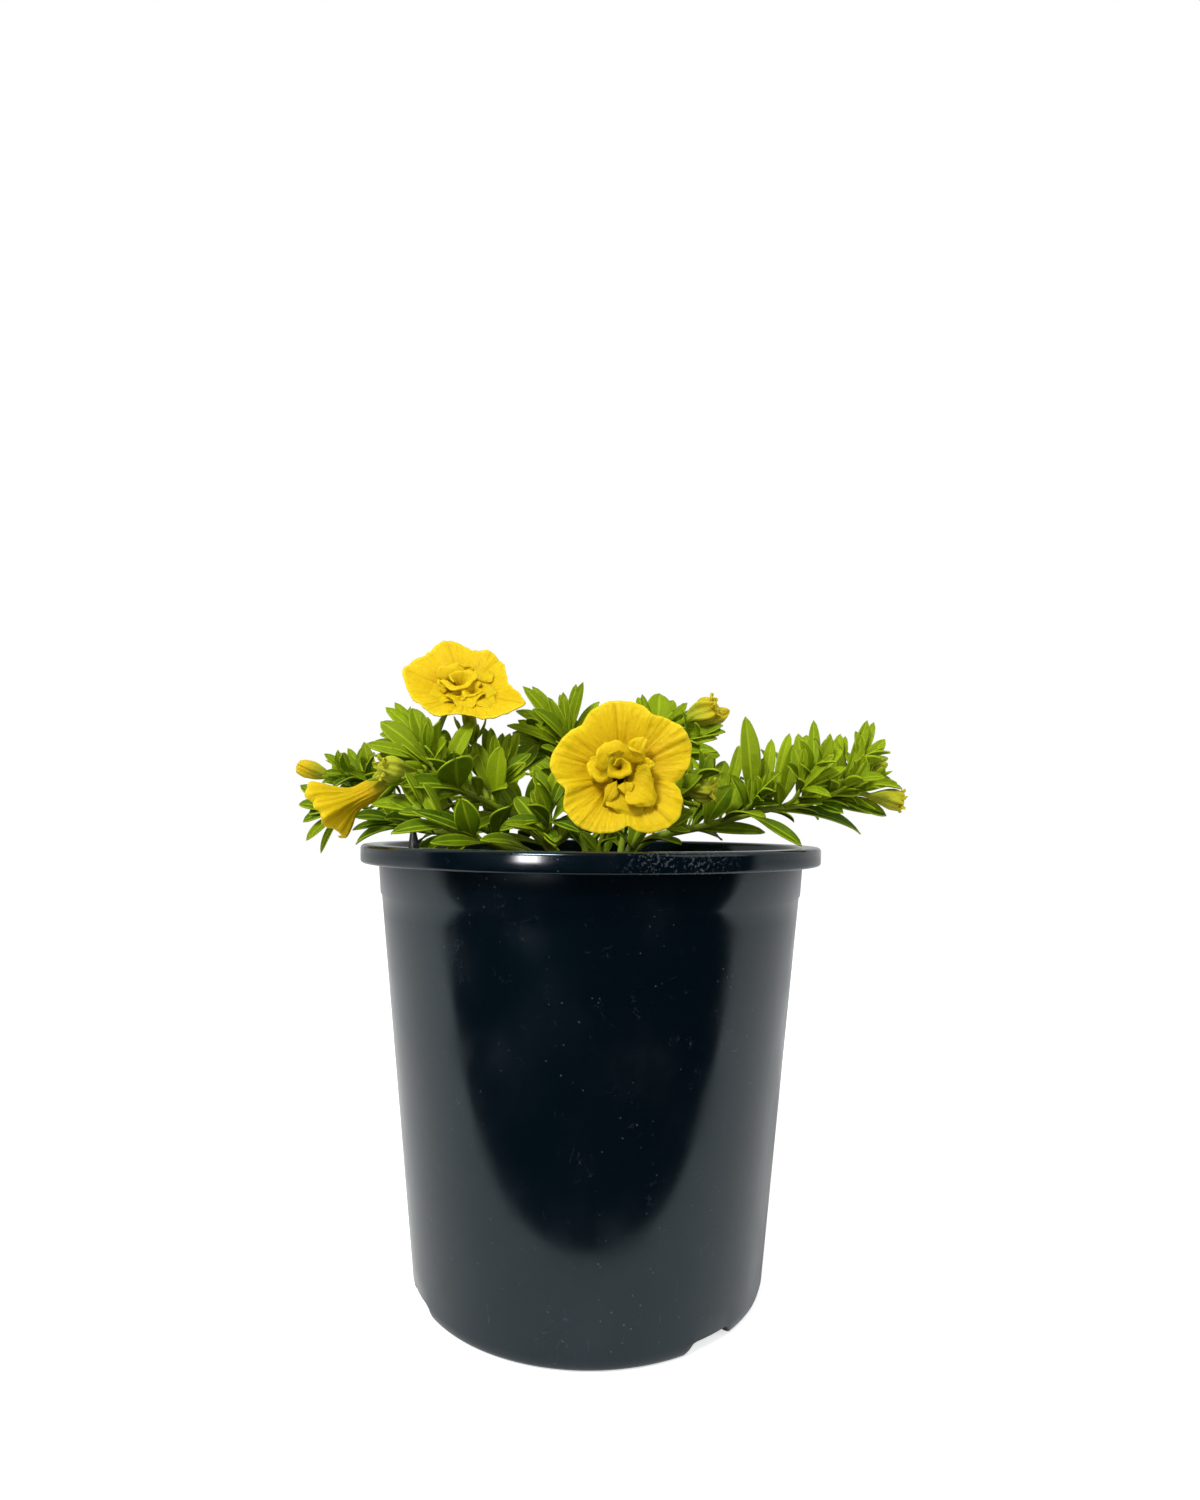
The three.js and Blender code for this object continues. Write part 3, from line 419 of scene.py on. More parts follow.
def add_piece(name, bm, materials, nodes=(), sharp=None):
    bmesh.ops.scale(bm, vec=(MM, MM, MM), verts=bm.verts)
    mesh = bpy.data.meshes.new(name)
    bm.to_mesh(mesh)
    bm.free()
    mesh.shade_smooth()
    if sharp is not None:
        mesh.set_sharp_from_angle(angle=math.radians(sharp))
    for material in materials:
        mesh.materials.append(material)
    piece = bpy.data.objects.new(name, mesh)
    bpy.context.collection.objects.link(piece)
    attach(piece, "root")
    if nodes:
        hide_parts(*nodes)
    return piece


def lathe(bm, profile, steps):
    """Spins a line of (radius, height) corners round Z into one closed skin"""
    corners = [bm.verts.new((max(r, 0), 0, z)) for r, z in profile]
    edges = [bm.edges.new(pair) for pair in zip(corners, corners[1:])]
    bmesh.ops.spin(bm, geom=corners + edges, cent=(0, 0, 0), axis=(0, 0, 1), dvec=(0, 0, 0),
                   angle=2 * math.pi, steps=steps, use_merge=True)
    bmesh.ops.remove_doubles(bm, verts=bm.verts, dist=0.0005)
    bmesh.ops.recalc_face_normals(bm, faces=bm.faces)
    return bm


def tube(bm, points, radii, sides=10):
    """A round stem through the points: a circle that is extruded from place to place"""
    way = (points[1] - points[0]).normalized()
    turn = way.to_track_quat("Z", "Y").to_matrix().to_4x4()
    ring = bmesh.ops.create_circle(bm, cap_ends=False, segments=sides, radius=radii[0],
                                   matrix=Matrix.Translation(points[0]) @ turn)["verts"]
    edges = list({edge for vert in ring for edge in vert.link_edges})
    first = bmesh.ops.contextual_create(bm, geom=edges)["faces"]
    made = list(ring)
    for i in range(1, len(points)):
        new = bmesh.ops.extrude_edge_only(bm, edges=edges)["geom"]
        ring = [item for item in new if isinstance(item, bmesh.types.BMVert)]
        edges = [item for item in new if isinstance(item, bmesh.types.BMEdge)]
        ahead = points[min(i + 1, len(points) - 1)] - points[i - 1]
        bend = way.rotation_difference(ahead.normalized()).to_matrix()
        way = ahead.normalized()
        for vert in ring:
            offset = bend @ (vert.co - points[i - 1])
            vert.co = points[i] + offset * (radii[i] / radii[i - 1])
        made += ring
    bmesh.ops.contextual_create(bm, geom=edges)
    return made, first


def blade(bm, base, tip, width, *, facing=(0, -0.5, 0.85), roll=0.0, arch=0.07, fold=0.3, widest=0.58,
          wave=0.04, tone=0.5, columns=4, rows=12, foot=0.12, phase=0.0, curl=0.0):
    """A leaf or a sepal: a grid drawn from base to tip, folded along its rib and arched"""
    across_layer, along_layer, tone_layer, fold_layer = layers(bm)
    along = tip - base
    length = along.length
    along.normalize()
    up = Vector(facing)
    up = (up - along * along.dot(up)).normalized()
    up.rotate(Matrix.Rotation(roll, 3, along))
    side = along.cross(up)
    grid = bmesh.ops.create_grid(bm, x_segments=columns, y_segments=rows, size=0.5)["verts"]
    power = math.log(0.5) / math.log(widest)
    for vert in grid:
        across, t = 2 * vert.co.x, vert.co.y + 0.5
        t = t ** 0.85
        swell = math.sin(math.pi * t ** power) ** (1.0 if t < widest else 0.62)
        half = 0.5 * width * max(swell, foot * (1 - t))
        spread = half * across
        lift = 4 * arch * length * t * (1 - t) - curl * length * t ** 3
        lift += fold * abs(spread) - 0.12 * math.exp(-(across / 0.22) ** 2)
        lift += wave * width * abs(across) ** 1.5 * math.sin(2.2 * math.pi * t + phase + across)
        vert.co = base + along * (length * t) + side * spread * math.cos(0.5 * fold) + up * lift
        vert[across_layer] = 0.5 + 0.5 * across
        vert[along_layer] = t
        vert[tone_layer] = tone
    return grid


def thicken(bm, faces, thickness):
    bmesh.ops.solidify(bm, geom=faces, thickness=thickness)


# Materials


class Nodes:
    """A short way to write a node tree"""

    def __init__(self, material):
        self.tree = material.node_tree
        self.tree.nodes.clear()

    def add(self, kind, inputs=None, **settings):
        node = self.tree.nodes.new(kind)
        for name, value in settings.items():
            setattr(node, name, value)
        for name, value in (inputs or {}).items():
            self.set(node.inputs[name], value)
        return node

    def set(self, socket, value):
        if isinstance(value, bpy.types.NodeSocket):
            self.tree.links.new(value, socket)
        elif socket.type == "RGBA" and len(value) == 3:
            socket.default_value = (*value, 1)
        else:
            socket.default_value = value

    def math(self, operation, a, b=0.0, c=0.0, clamp=False):
        node = self.add("ShaderNodeMath", operation=operation, use_clamp=clamp)
        for socket, value in zip(node.inputs, (a, b, c)):
            self.set(socket, value)
        return node.outputs[0]

    def mix(self, factor, a, b, blend="MIX"):
        node = self.add("ShaderNodeMix", data_type="RGBA", blend_type=blend)
        self.set(node.inputs["Factor"], factor)
        self.set(node.inputs["A"], a)
        self.set(node.inputs["B"], b)
        return node.outputs["Result"]

    def ramp(self, value, low, high, to_low=0.0, to_high=1.0, soft=True):
        kind = "SMOOTHSTEP" if soft else "LINEAR"
        node = self.add("ShaderNodeMapRange", {"Value": value, "From Min": low, "From Max": high,
                                               "To Min": to_low, "To Max": to_high}, interpolation_type=kind)
        return node.outputs["Result"]

    def attribute(self, name):
        return self.add("ShaderNodeAttribute", attribute_name=name).outputs["Fac"]

    def place(self, stretch=(1, 1, 1)):
        """Object coordinates in millimetres, stretched along an axis where a mark runs along it"""
        node = self.add("ShaderNodeTexCoord")
        scale = tuple(part / MM for part in stretch)
        return self.add("ShaderNodeMapping", {"Vector": node.outputs["Object"], "Scale": scale}).outputs[0]

    def noise(self, vector, scale, detail=3.0, roughness=0.55):
        node = self.add("ShaderNodeTexNoise", {"Vector": vector, "Scale": scale, "Detail": detail,
                                               "Roughness": roughness})
        return node.outputs["Fac"]

    def bump(self, height, strength, distance, normal=None):
        inputs = {"Height": height, "Strength": strength, "Distance": distance}
        if normal is not None:
            inputs["Normal"] = normal
        return self.add("ShaderNodeBump", inputs).outputs["Normal"]

    def finish(self, **inputs):
        named = {name.replace("_", " "): value for name, value in inputs.items()}
        shader = self.add("ShaderNodeBsdfPrincipled", named)
        output = self.add("ShaderNodeOutputMaterial")
        self.tree.links.new(shader.outputs[0], output.inputs["Surface"])
        return shader


def new_material(name):
    material = bpy.data.materials.get(name)
    if material is None:
        material = bpy.data.materials.new(name)
    material.use_nodes = True
    return material, Nodes(material)


def leaf_material():
    """Folded green leaves: a pale rib, side veins, a pale hairy edge and a tone for each leaf"""
    material, n = new_material("leaf")
    place = n.place()
    across = n.math("ABSOLUTE", n.math("MULTIPLY_ADD", n.attribute("across"), 2.0, -1.0))
    along = n.attribute("along")
    tone = n.attribute("tone")
    mottle = n.noise(place, 0.35, 4.0)
    tone = n.math("ADD", tone, n.math("MULTIPLY_ADD", mottle, 0.5, -0.25), clamp=True)
    base = n.mix(tone, tuple(colours().leaf_dark), tuple(colours().leaf_light))
    fine = n.noise(place, 2.2, 3.0)
    base = n.mix(n.ramp(fine, 0.42, 0.7, 0.0, 0.35), base, tuple(colours().leaf_dark))
    slant = n.math("MULTIPLY_ADD", across, -0.8, n.math("MULTIPLY", along, 1.0))
    veins = n.math("SINE", n.math("MULTIPLY", slant, 52.0))
    veins = n.ramp(veins, 0.82, 1.0)
    veins = n.math("MULTIPLY", veins, n.ramp(across, 0.95, 0.1, 0.0, 0.35))
    rib = n.ramp(across, 0.16, 0.02)
    edge = n.ramp(across, 0.9, 0.99, 0.0, 0.8)
    pale = n.math("MAXIMUM", n.math("MULTIPLY", rib, 0.75), n.math("MAXIMUM", veins, edge))
    colour = n.mix(pale, base, tuple(colours().leaf_rib))
    back = n.add("ShaderNodeNewGeometry").outputs["Backfacing"]
    colour = n.mix(n.math("MULTIPLY", back, 0.2), colour, tuple(colours().leaf_rib))
    height = n.math("ADD", n.math("MULTIPLY", n.math("ADD", rib, veins), -0.5), n.math("MULTIPLY", fine, 0.6))
    n.finish(Base_Color=colour, Roughness=n.ramp(fine, 0.3, 0.8, 0.5, 0.7), Normal=n.bump(height, 0.5, 0.0002),
             Subsurface_Weight=0.2, Subsurface_Radius=(0.6, 1.0, 0.25), Subsurface_Scale=0.0012,
             Specular_IOR_Level=0.06)
    return material


def stem_material():
    """Round green stems with a light down and fine lines along them"""
    material, n = new_material("stem")
    place = n.place()
    down = n.noise(place, 3.0, 4.0)
    patch = n.noise(place, 0.18, 2.0)
    colour = n.mix(n.ramp(patch, 0.35, 0.7), tuple(colours().stem), tuple(colours().leaf_light))
    colour = n.mix(n.ramp(down, 0.5, 0.75, 0.0, 0.5), colour, tuple(colours().leaf_rib))
    n.finish(Base_Color=colour, Roughness=0.55, Normal=n.bump(down, 0.4, 0.0002), Specular_IOR_Level=0.2,
             Subsurface_Weight=0.15, Subsurface_Radius=(0.5, 0.8, 0.2), Subsurface_Scale=0.001)
    return material


def petal_material():
    """Yellow petals: fine veins that fan out to the edge, a deeper throat with painted shade at the petals' roots, a
    painted highlight along their edges and olive at the foot
    """
    material, n = new_material("petal")
    place = n.place()
    across = n.attribute("across")
    along = n.attribute("along")
    tone = n.attribute("tone")
    mottle = n.noise(place, 0.5, 4.0)
    fan = n.add("ShaderNodeCombineXYZ", {"X": n.math("MULTIPLY", across, 74.0),
                                         "Y": n.math("MULTIPLY", along, 3.5)}).outputs[0]
    streaks = n.noise(fan, 1.0, 3.0, 0.6)
    # Deeper yellow towards the throat and the roots of the petals: the throat's own colour, and painted shade where the
    # inner petals crowd together at their roots
    veins_throat_and_root_shade = n.ramp(along, 0.95, 0.2, 0.0, 0.75)
    veins_throat_and_root_shade = n.math("ADD", veins_throat_and_root_shade, n.ramp(streaks, 0.45, 0.75, 0.0, 0.3))
    veins_throat_and_root_shade = n.math("ADD", veins_throat_and_root_shade, n.ramp(mottle, 0.45, 0.75, 0.0, 0.18), clamp=True)
    colour = n.mix(veins_throat_and_root_shade, tuple(colours().petal), tuple(colours().petal_throat_and_root_shade))
    colour = n.mix(n.math("MULTIPLY", n.attribute("fold"), 0.5), colour, (0.32, 0.19, 0.002))
    # Painted highlight: the edges of the petals and of the limb are lighter, as where the curled rims catch the light
    colour = n.mix(n.ramp(along, 0.92, 1.0, 0.0, 0.6), colour, (0.8, 0.6, 0.02))
    colour = n.mix(n.ramp(tone, 0.9, 0.0, 0.0, 0.95), colour, tuple(colours().bud_green))
    quilt = n.add("ShaderNodeTexVoronoi", {"Vector": place, "Scale": 0.75, "Randomness": 1.0},
                  feature="SMOOTH_F1").outputs["Distance"]
    height = n.math("ADD", n.math("MULTIPLY", streaks, 0.8), n.math("MULTIPLY", mottle, 0.6))
    height = n.math("SUBTRACT", height, n.math("MULTIPLY", quilt, 0.3))
    n.finish(Base_Color=colour, Roughness=0.5, Normal=n.bump(height, 0.7, 0.0006), Specular_IOR_Level=0.1,
             Subsurface_Weight=0.3, Subsurface_Radius=(1.0, 0.7, 0.1), Subsurface_Scale=0.002)
    return material


def pot_material():
    """Black gloss plastic with dust, fine scratches and water marks"""
    material, n = new_material("pot_plastic")
    place = n.place()
    grains = n.add("ShaderNodeTexVoronoi", {"Vector": place, "Scale": 0.42, "Randomness": 1.0})
    patchy = n.noise(place, 0.05, 3.0)
    speck = n.math("ADD", n.ramp(patchy, 0.35, 0.65, -0.04, 0.05), n.math("MULTIPLY", n.noise(place, 0.9, 1.0), 0.09))
    dust = n.math("LESS_THAN", grains.outputs["Distance"], speck)
    curls = n.math("ABSOLUTE", n.math("SUBTRACT", n.noise(place, 0.28, 2.0), 0.5))
    curls = n.math("MULTIPLY", n.ramp(curls, 0.006, 0.001), n.ramp(n.noise(place, 0.16, 2.0), 0.58, 0.66))
    dust = n.math("MAXIMUM", dust, n.math("MULTIPLY", curls, 0.6))
    smears = n.noise(n.place((0.06, 0.06, 0.04)), 1.0, 4.0)
    scuffs = n.noise(n.place((0.5, 0.5, 0.03)), 1.0, 3.0, 0.7)
    scuffs = n.ramp(scuffs, 0.66, 0.74)
    height = n.add("ShaderNodeSeparateXYZ", {"Vector": place}).outputs["Z"]
    rim = n.ramp(height, 126.0, 127.0)
    low = n.ramp(height, 30.0, 2.0)
    side = n.add("ShaderNodeSeparateXYZ", {"Vector": place})
    patch = n.math("MULTIPLY", n.ramp(side.outputs["X"], 2.0, 16.0), n.ramp(side.outputs["X"], 40.0, 26.0))
    patch = n.math("MULTIPLY", n.math("MULTIPLY", patch, rim), n.ramp(side.outputs["Y"], -30.0, -50.0))
    chalk = n.ramp(n.noise(place, 1.1, 6.0, 0.75), 0.53, 0.6)
    worn = n.math("MAXIMUM", n.math("MULTIPLY", patch, chalk), n.math("MULTIPLY", low, scuffs))
    pale = n.math("MAXIMUM", n.math("MULTIPLY", dust, 0.45), n.math("MULTIPLY", worn, 0.4))
    pale = n.math("MAXIMUM", pale, n.ramp(smears, 0.55, 0.85, 0.0, 0.035))
    colour = n.mix(pale, tuple(colours().pot), (0.11, 0.12, 0.13))
    rough = n.math("MULTIPLY", n.ramp(smears, 0.35, 0.75, 0.14, 0.26), n.ramp(rim, 0.0, 1.0, 1.0, 0.75, False))
    rough = n.math("MAXIMUM", rough, n.math("MULTIPLY", worn, 0.5))
    waves = n.noise(n.place((0.02, 0.02, 0.012)), 1.0, 1.0)
    fine = n.noise(place, 1.2, 2.0)
    normal = n.bump(n.math("ADD", waves, n.math("MULTIPLY", fine, 0.004)), 0.35, 0.002)
    n.finish(Base_Color=colour, Roughness=rough, Normal=normal, Specular_IOR_Level=0.5,
             Specular_Tint=(0.74, 0.92, 1.0))
    return material


def soil_material():
    """Crumbly brown potting mix"""
    material, n = new_material("potting_mix")
    place = n.place()
    crumbs = n.noise(place, 0.45, 8.0, 0.7)
    grain = n.noise(place, 3.0, 5.0)
    colour = n.mix(n.ramp(crumbs, 0.38, 0.66), (0.016, 0.007, 0.004), tuple(colours().soil))
    colour = n.mix(n.ramp(grain, 0.55, 0.75, 0.0, 0.5), colour, (0.16, 0.09, 0.05))
    height = n.math("ADD", crumbs, n.math("MULTIPLY", grain, 0.4))
    n.finish(Base_Color=colour, Roughness=0.92, Normal=n.bump(height, 0.9, 0.0016), Specular_IOR_Level=0.2)
    return material


def stub_material():
    """Dull dark plastic"""
    material, n = new_material("stub_plastic")
    marks = n.noise(n.place(), 0.8, 4.0)
    colour = n.mix(n.ramp(marks, 0.4, 0.7), (0.005, 0.007, 0.008), (0.02, 0.023, 0.025))
    n.finish(Base_Color=colour, Roughness=n.ramp(marks, 0.3, 0.7, 0.35, 0.6), Normal=n.bump(marks, 0.3, 0.0003))
    return material


# Pot and soil


def wall_radius(z):
    size = sizes()
    height = (size.pot_height - size.rim_band) / MM
    foot = size.base_radius / MM
    return foot + (size.wall_top_radius / MM - foot) * z / height


def arc(centre_r, centre_z, radius, start, end, steps=4):
    """Corners of a rounded edge, in degrees from outwards to upwards"""
    turns = [math.radians(lerp(start, end, i / steps)) for i in range(steps + 1)]
    return [(centre_r + radius * math.cos(a), centre_z + radius * math.sin(a)) for a in turns]


NOTCH_ANGLES = (52, 153, 240, 327)
NOTCH_HALF = 9
NOTCH_HEIGHT = 3.6
WALL = 1.4
SOIL_TOP = 124


def build_pot():
    size = sizes()
    top, rim = size.pot_height / MM, size.rim_radius / MM
    band = top - size.rim_band / MM
    foot = size.base_radius / MM
    inner = wall_radius(top) - WALL
    profile = [(0, 2.2), (foot - 6, 2.2), (foot - 5, 0.0)]
    profile += arc(foot - 2.2, 2.2, 2.2, -90, -6)
    profile += [(wall_radius(z), z) for z in (3.0, 3.8, 10, 40, 80, 112)]
    profile += [(wall_radius(117.0), 117.0), (wall_radius(117.8) + 0.35, 117.8), (wall_radius(band) + 0.15, band - 0.3)]
    profile += [(wall_radius(band) + 0.5, band), (rim - 1.2, band)]
    profile += arc(rim - 0.8, band + 0.8, 0.8, -90, 0)
    profile += arc(rim - 1.1, top - 1.1, 1.1, 0, 90, 6)
    profile += arc(inner + 1.2, top - 1.2, 1.2, 90, 180)
    profile += [(wall_radius(z) - WALL, z) for z in (120, 60, 4.0)] + [(0, 4.0)]
    bm = bmesh.new()
    lathe(bm, profile, 288)
    # The notches of the foot: the wall is lifted over them
    for vert in bm.verts:
        x, y, z = vert.co
        if z > NOTCH_HEIGHT + 0.1 or math.hypot(x, y) < foot - 6.5:
            continue
        turn = math.degrees(math.atan2(-y, x)) % 360
        away = min(abs((turn - middle + 180) % 360 - 180) for middle in NOTCH_ANGLES) * math.radians(1) * foot
        vert.co.z = max(z, NOTCH_HEIGHT * (1 - smooth(NOTCH_HALF - 3.2, NOTCH_HALF, away)))
    bmesh.ops.dissolve_degenerate(bm, edges=bm.edges, dist=0.0005)
    bmesh.ops.recalc_face_normals(bm, faces=bm.faces)
    return add_piece("nursery_pot", bm, [pot_material()], ["pot"], sharp=35)


def soil_height(x, y):
    mound = 4 * math.exp(-((x + 48) ** 2 + (y + 18) ** 2) / 420)
    swell = 0.8 * math.sin(0.13 * x + 1) * math.cos(0.11 * y) + 0.5 * math.sin(0.31 * x + 0.27 * y)
    return SOIL_TOP + mound + swell


def build_soil():
    bm = bmesh.new()
    bmesh.ops.create_grid(bm, x_segments=130, y_segments=130, size=0.5)
    edge = wall_radius(SOIL_TOP) - WALL - 0.4
    for vert in bm.verts:
        x, y = 2 * vert.co.x, 2 * vert.co.y
        reach = max(abs(x), abs(y))
        scale = edge * reach / max(math.hypot(x, y), 1e-6)
        x, y = x * scale, y * scale
        crumbs = 1.6 * noise.fractal(Vector((x, y, 3.0)) / 4.5, 1.0, 2.1, 4)
        crumbs += 0.5 * noise.noise(Vector((x, y, 9.0)) / 1.3)
        vert.co = Vector((x, y, soil_height(x, y) - 0.6 + crumbs * (1 - 0.4 * reach ** 8)))
    rim = [edge for edge in bm.edges if edge.is_boundary]
    skirt = bmesh.ops.extrude_edge_only(bm, edges=rim)["geom"]
    for vert in skirt:
        if isinstance(vert, bmesh.types.BMVert):
            vert.co.z = 108
            vert.co.xy = vert.co.xy * 0.985
    bmesh.ops.holes_fill(bm, edges=[edge for edge in bm.edges if edge.is_boundary], sides=0)
    # Crumbs and bark chips that lie on top, pressed in a little
    pick = draws(71)
    for i in range(260):
        turn, reach = 2 * math.pi * next(pick), (edge - 2.5) * math.sqrt(next(pick))
        x, y = reach * math.cos(turn), reach * math.sin(turn)
        size = 0.5 + 1.3 * next(pick) ** 2
        shape = Matrix.Diagonal((size * (1 + next(pick)), size, size * (0.4 + 0.4 * next(pick)), 1))
        turned = Matrix.Rotation(6.28 * next(pick), 4, "Z") @ Matrix.Rotation(0.6 * next(pick), 4, "X") @ shape
        place = Matrix.Translation((x, y, soil_height(x, y) + 0.1 * size))
        chip = bmesh.ops.create_icosphere(bm, subdivisions=1, radius=1, matrix=place @ turned)["verts"]
        for vert in chip:
            vert.co += 0.3 * size * noise.noise_vector(vert.co / 1.5)
    bmesh.ops.recalc_face_normals(bm, faces=bm.faces)
    return add_piece("potting_mix", bm, [soil_material()], ["potting_soil"], sharp=50)


def build_stub():
    bm = bmesh.new()
    route = Route([(-47, -37, 117), (-47.6, -37.1, 127), (-48.2, -37.2, 137.2)])
    points = [route.at(i / 12) for i in range(13)]
    radii = [lerp(1.6, 0.75, smooth(0.68, 1, i / 12)) for i in range(13)]
    tube(bm, points, radii, 20)
    bmesh.ops.recalc_face_normals(bm, faces=bm.faces)
    rim = [edge for edge in bm.edges if any(len(face.verts) > 4 for face in edge.link_faces)]
    bmesh.ops.bevel(bm, geom=rim, offset=0.35, segments=3, profile=0.5, affect="EDGES", material=-1)
    return add_piece("dark_stub", bm, [stub_material()], ["plastic_stub"])


# Flowers

BLOOM_TUBE = 16
TRUMPET_TUBE = 20
RECEPTACLE = 1.5
GAP = 0.3

# The edge of each open flower, read round its own axis: degrees and radius
FRONT_EDGE = (
    (-162, 15.4), (-146, 17.8), (-130, 18.3), (-115, 17.5), (-100, 16.2), (-84, 14.2), (-74, 16.2), (-64, 17.5),
    (-52, 18.6), (-39, 18.7), (-26, 17.4), (-17, 15.8), (-10, 14), (-2, 16), (10, 17.9), (24, 19.9), (37, 19.9),
    (50, 18.6), (63, 17.3), (74, 18.7), (83, 19.2), (100, 19.2), (116, 18.3), (131, 16.4), (142, 17.2),
    (152, 17.9), (166, 18.6), (176, 18.7), (187, 17.2),
)
UPPER_EDGE = (
    (-171, 16.9), (-145, 16.4), (-120, 16.8), (-107, 17.6), (-92, 17.2), (-80, 17.6), (-70, 18.8), (-56, 20.2),
    (-45, 21.2), (-36, 22.2), (-30, 22.0), (-26, 19.6), (-20, 16), (-12, 14), (-2, 13), (10, 12.7), (22, 12.9),
    (34, 13.6), (46, 14.4), (60, 15), (74, 14.4), (84, 14.8), (94, 16.8), (103, 18.4), (112, 20), (121, 19.6),
    (131, 18.4), (141, 17.4), (150, 18.4), (162, 19.1), (175, 18.2),
)
# Inner petals: root in the flower's frame, heading in degrees, length, width, how steeply it rises
# at its root and at its tip in degrees, how deeply it is cupped in degrees, ruffle and seed
FRONT_PETALS = (
    ((0.5, -1, 0.4), -62, 11, 14, 32, -4, 24, 0.3, 1),
    ((1, -1, 1.0), -28, 11, 12, 50, -16, 40, 0.35, 2),
    ((-1, 0.5, 0.8), 146, 9.5, 11, 66, -24, 46, 0.2, 3),
    ((0, 1.5, 1.0), 104, 9, 15, 74, -18, 60, 0.2, 4),
    ((1.5, 2, 0.8), 46, 9.4, 8, 62, 0, -50, 0.6, 5),
    ((3, 0.5, 2.0), 8, 6.5, 6.5, 64, 10, -40, 0.5, 6),
    ((-2, 0, 1.6), 186, 7.5, 5, 52, -24, 40, 0.4, 7),
    ((-1, -1.5, 3.0), 243, 8.4, 4.2, 26, -26, -24, 0.15, 8),
    ((0.5, -2, 2.6), 284, 5, 4.6, 50, -20, 40, 0.5, 9),
)
UPPER_PETALS = (
    ((2, 0.5, 0.4), 8, 10.5, 15, 22, 0, 10, 0.1, 23),
    ((2.5, -2, 0.5), -40, 11, 9, 18, 4, 14, 0.2, 22),
    ((0.5, -2, 0.4), -84, 9.5, 12, 26, 0, 30, 0.12, 29),
    ((-1.5, -1.5, 0.4), -134, 9.5, 12, 22, 0, 20, 0.12, 21),
    ((-3, 1, 0.4), 176, 6, 11, 34, 0, 30, 0.12, 26),
    ((-2, 2.5, 0.4), 112, 7, 13, 58, 20, 50, 0.12, 25),
    ((1.5, 2.5, 0.4), 52, 7.5, 12, 34, 0, 26, 0.12, 24),
)
# Rolled petals in the middle: foot in the flower's frame, radius and height of the mouth, turns, the
# heading where the roll starts in degrees, and seed
FRONT_ROLLS = (
    ((-0.6, 1.4, 1.6), 3.7, 3.4, 1.2, 110, 3),
)
UPPER_ROLLS = (
    ((-1.6, 1.0, -0.4), 5.6, 5.2, 1.1, 205, 7),
    ((3.4, -3.4, 0.0), 4.0, 3.6, 1.05, 60, 9),
    ((-1.4, -5.6, 0.2), 2.9, 2.7, 1.1, 300, 4),
)
# Middle veins of the front flower's lobes and of the upper one's, in degrees
VEINS = {"bloom_front": (96, 28.5, -46.5, -123, 165), "bloom_upper_left": (111, 49.5, -31.5, -97.5, 168)}
POSED = {
    "bloom_front": ((7.6, -51.6, 151.2), (0.03, -0.99, 0.12)),
    "bloom_upper_left": ((-38, -14, 178), (0.0, -0.72, 0.69)),
}
SHRINK = {"bloom_front": 0.975, "bloom_upper_left": 1.0}
CONE = {"bloom_front": 2.6, "bloom_upper_left": 4.2}


def edge_radius(edge, degrees):
    """The outline's radius there, eased between the places that were read"""
    for (a, start), (b, end) in zip(edge, edge[1:] + ((edge[0][0] + 360, edge[0][1]),)):
        turn = (degrees - a) % 360
        if turn <= b - a:
            part = turn / (b - a)
            return lerp(start, end, part * part * (3 - 2 * part) * 0.5 + part * 0.5)
    return edge[0][1]


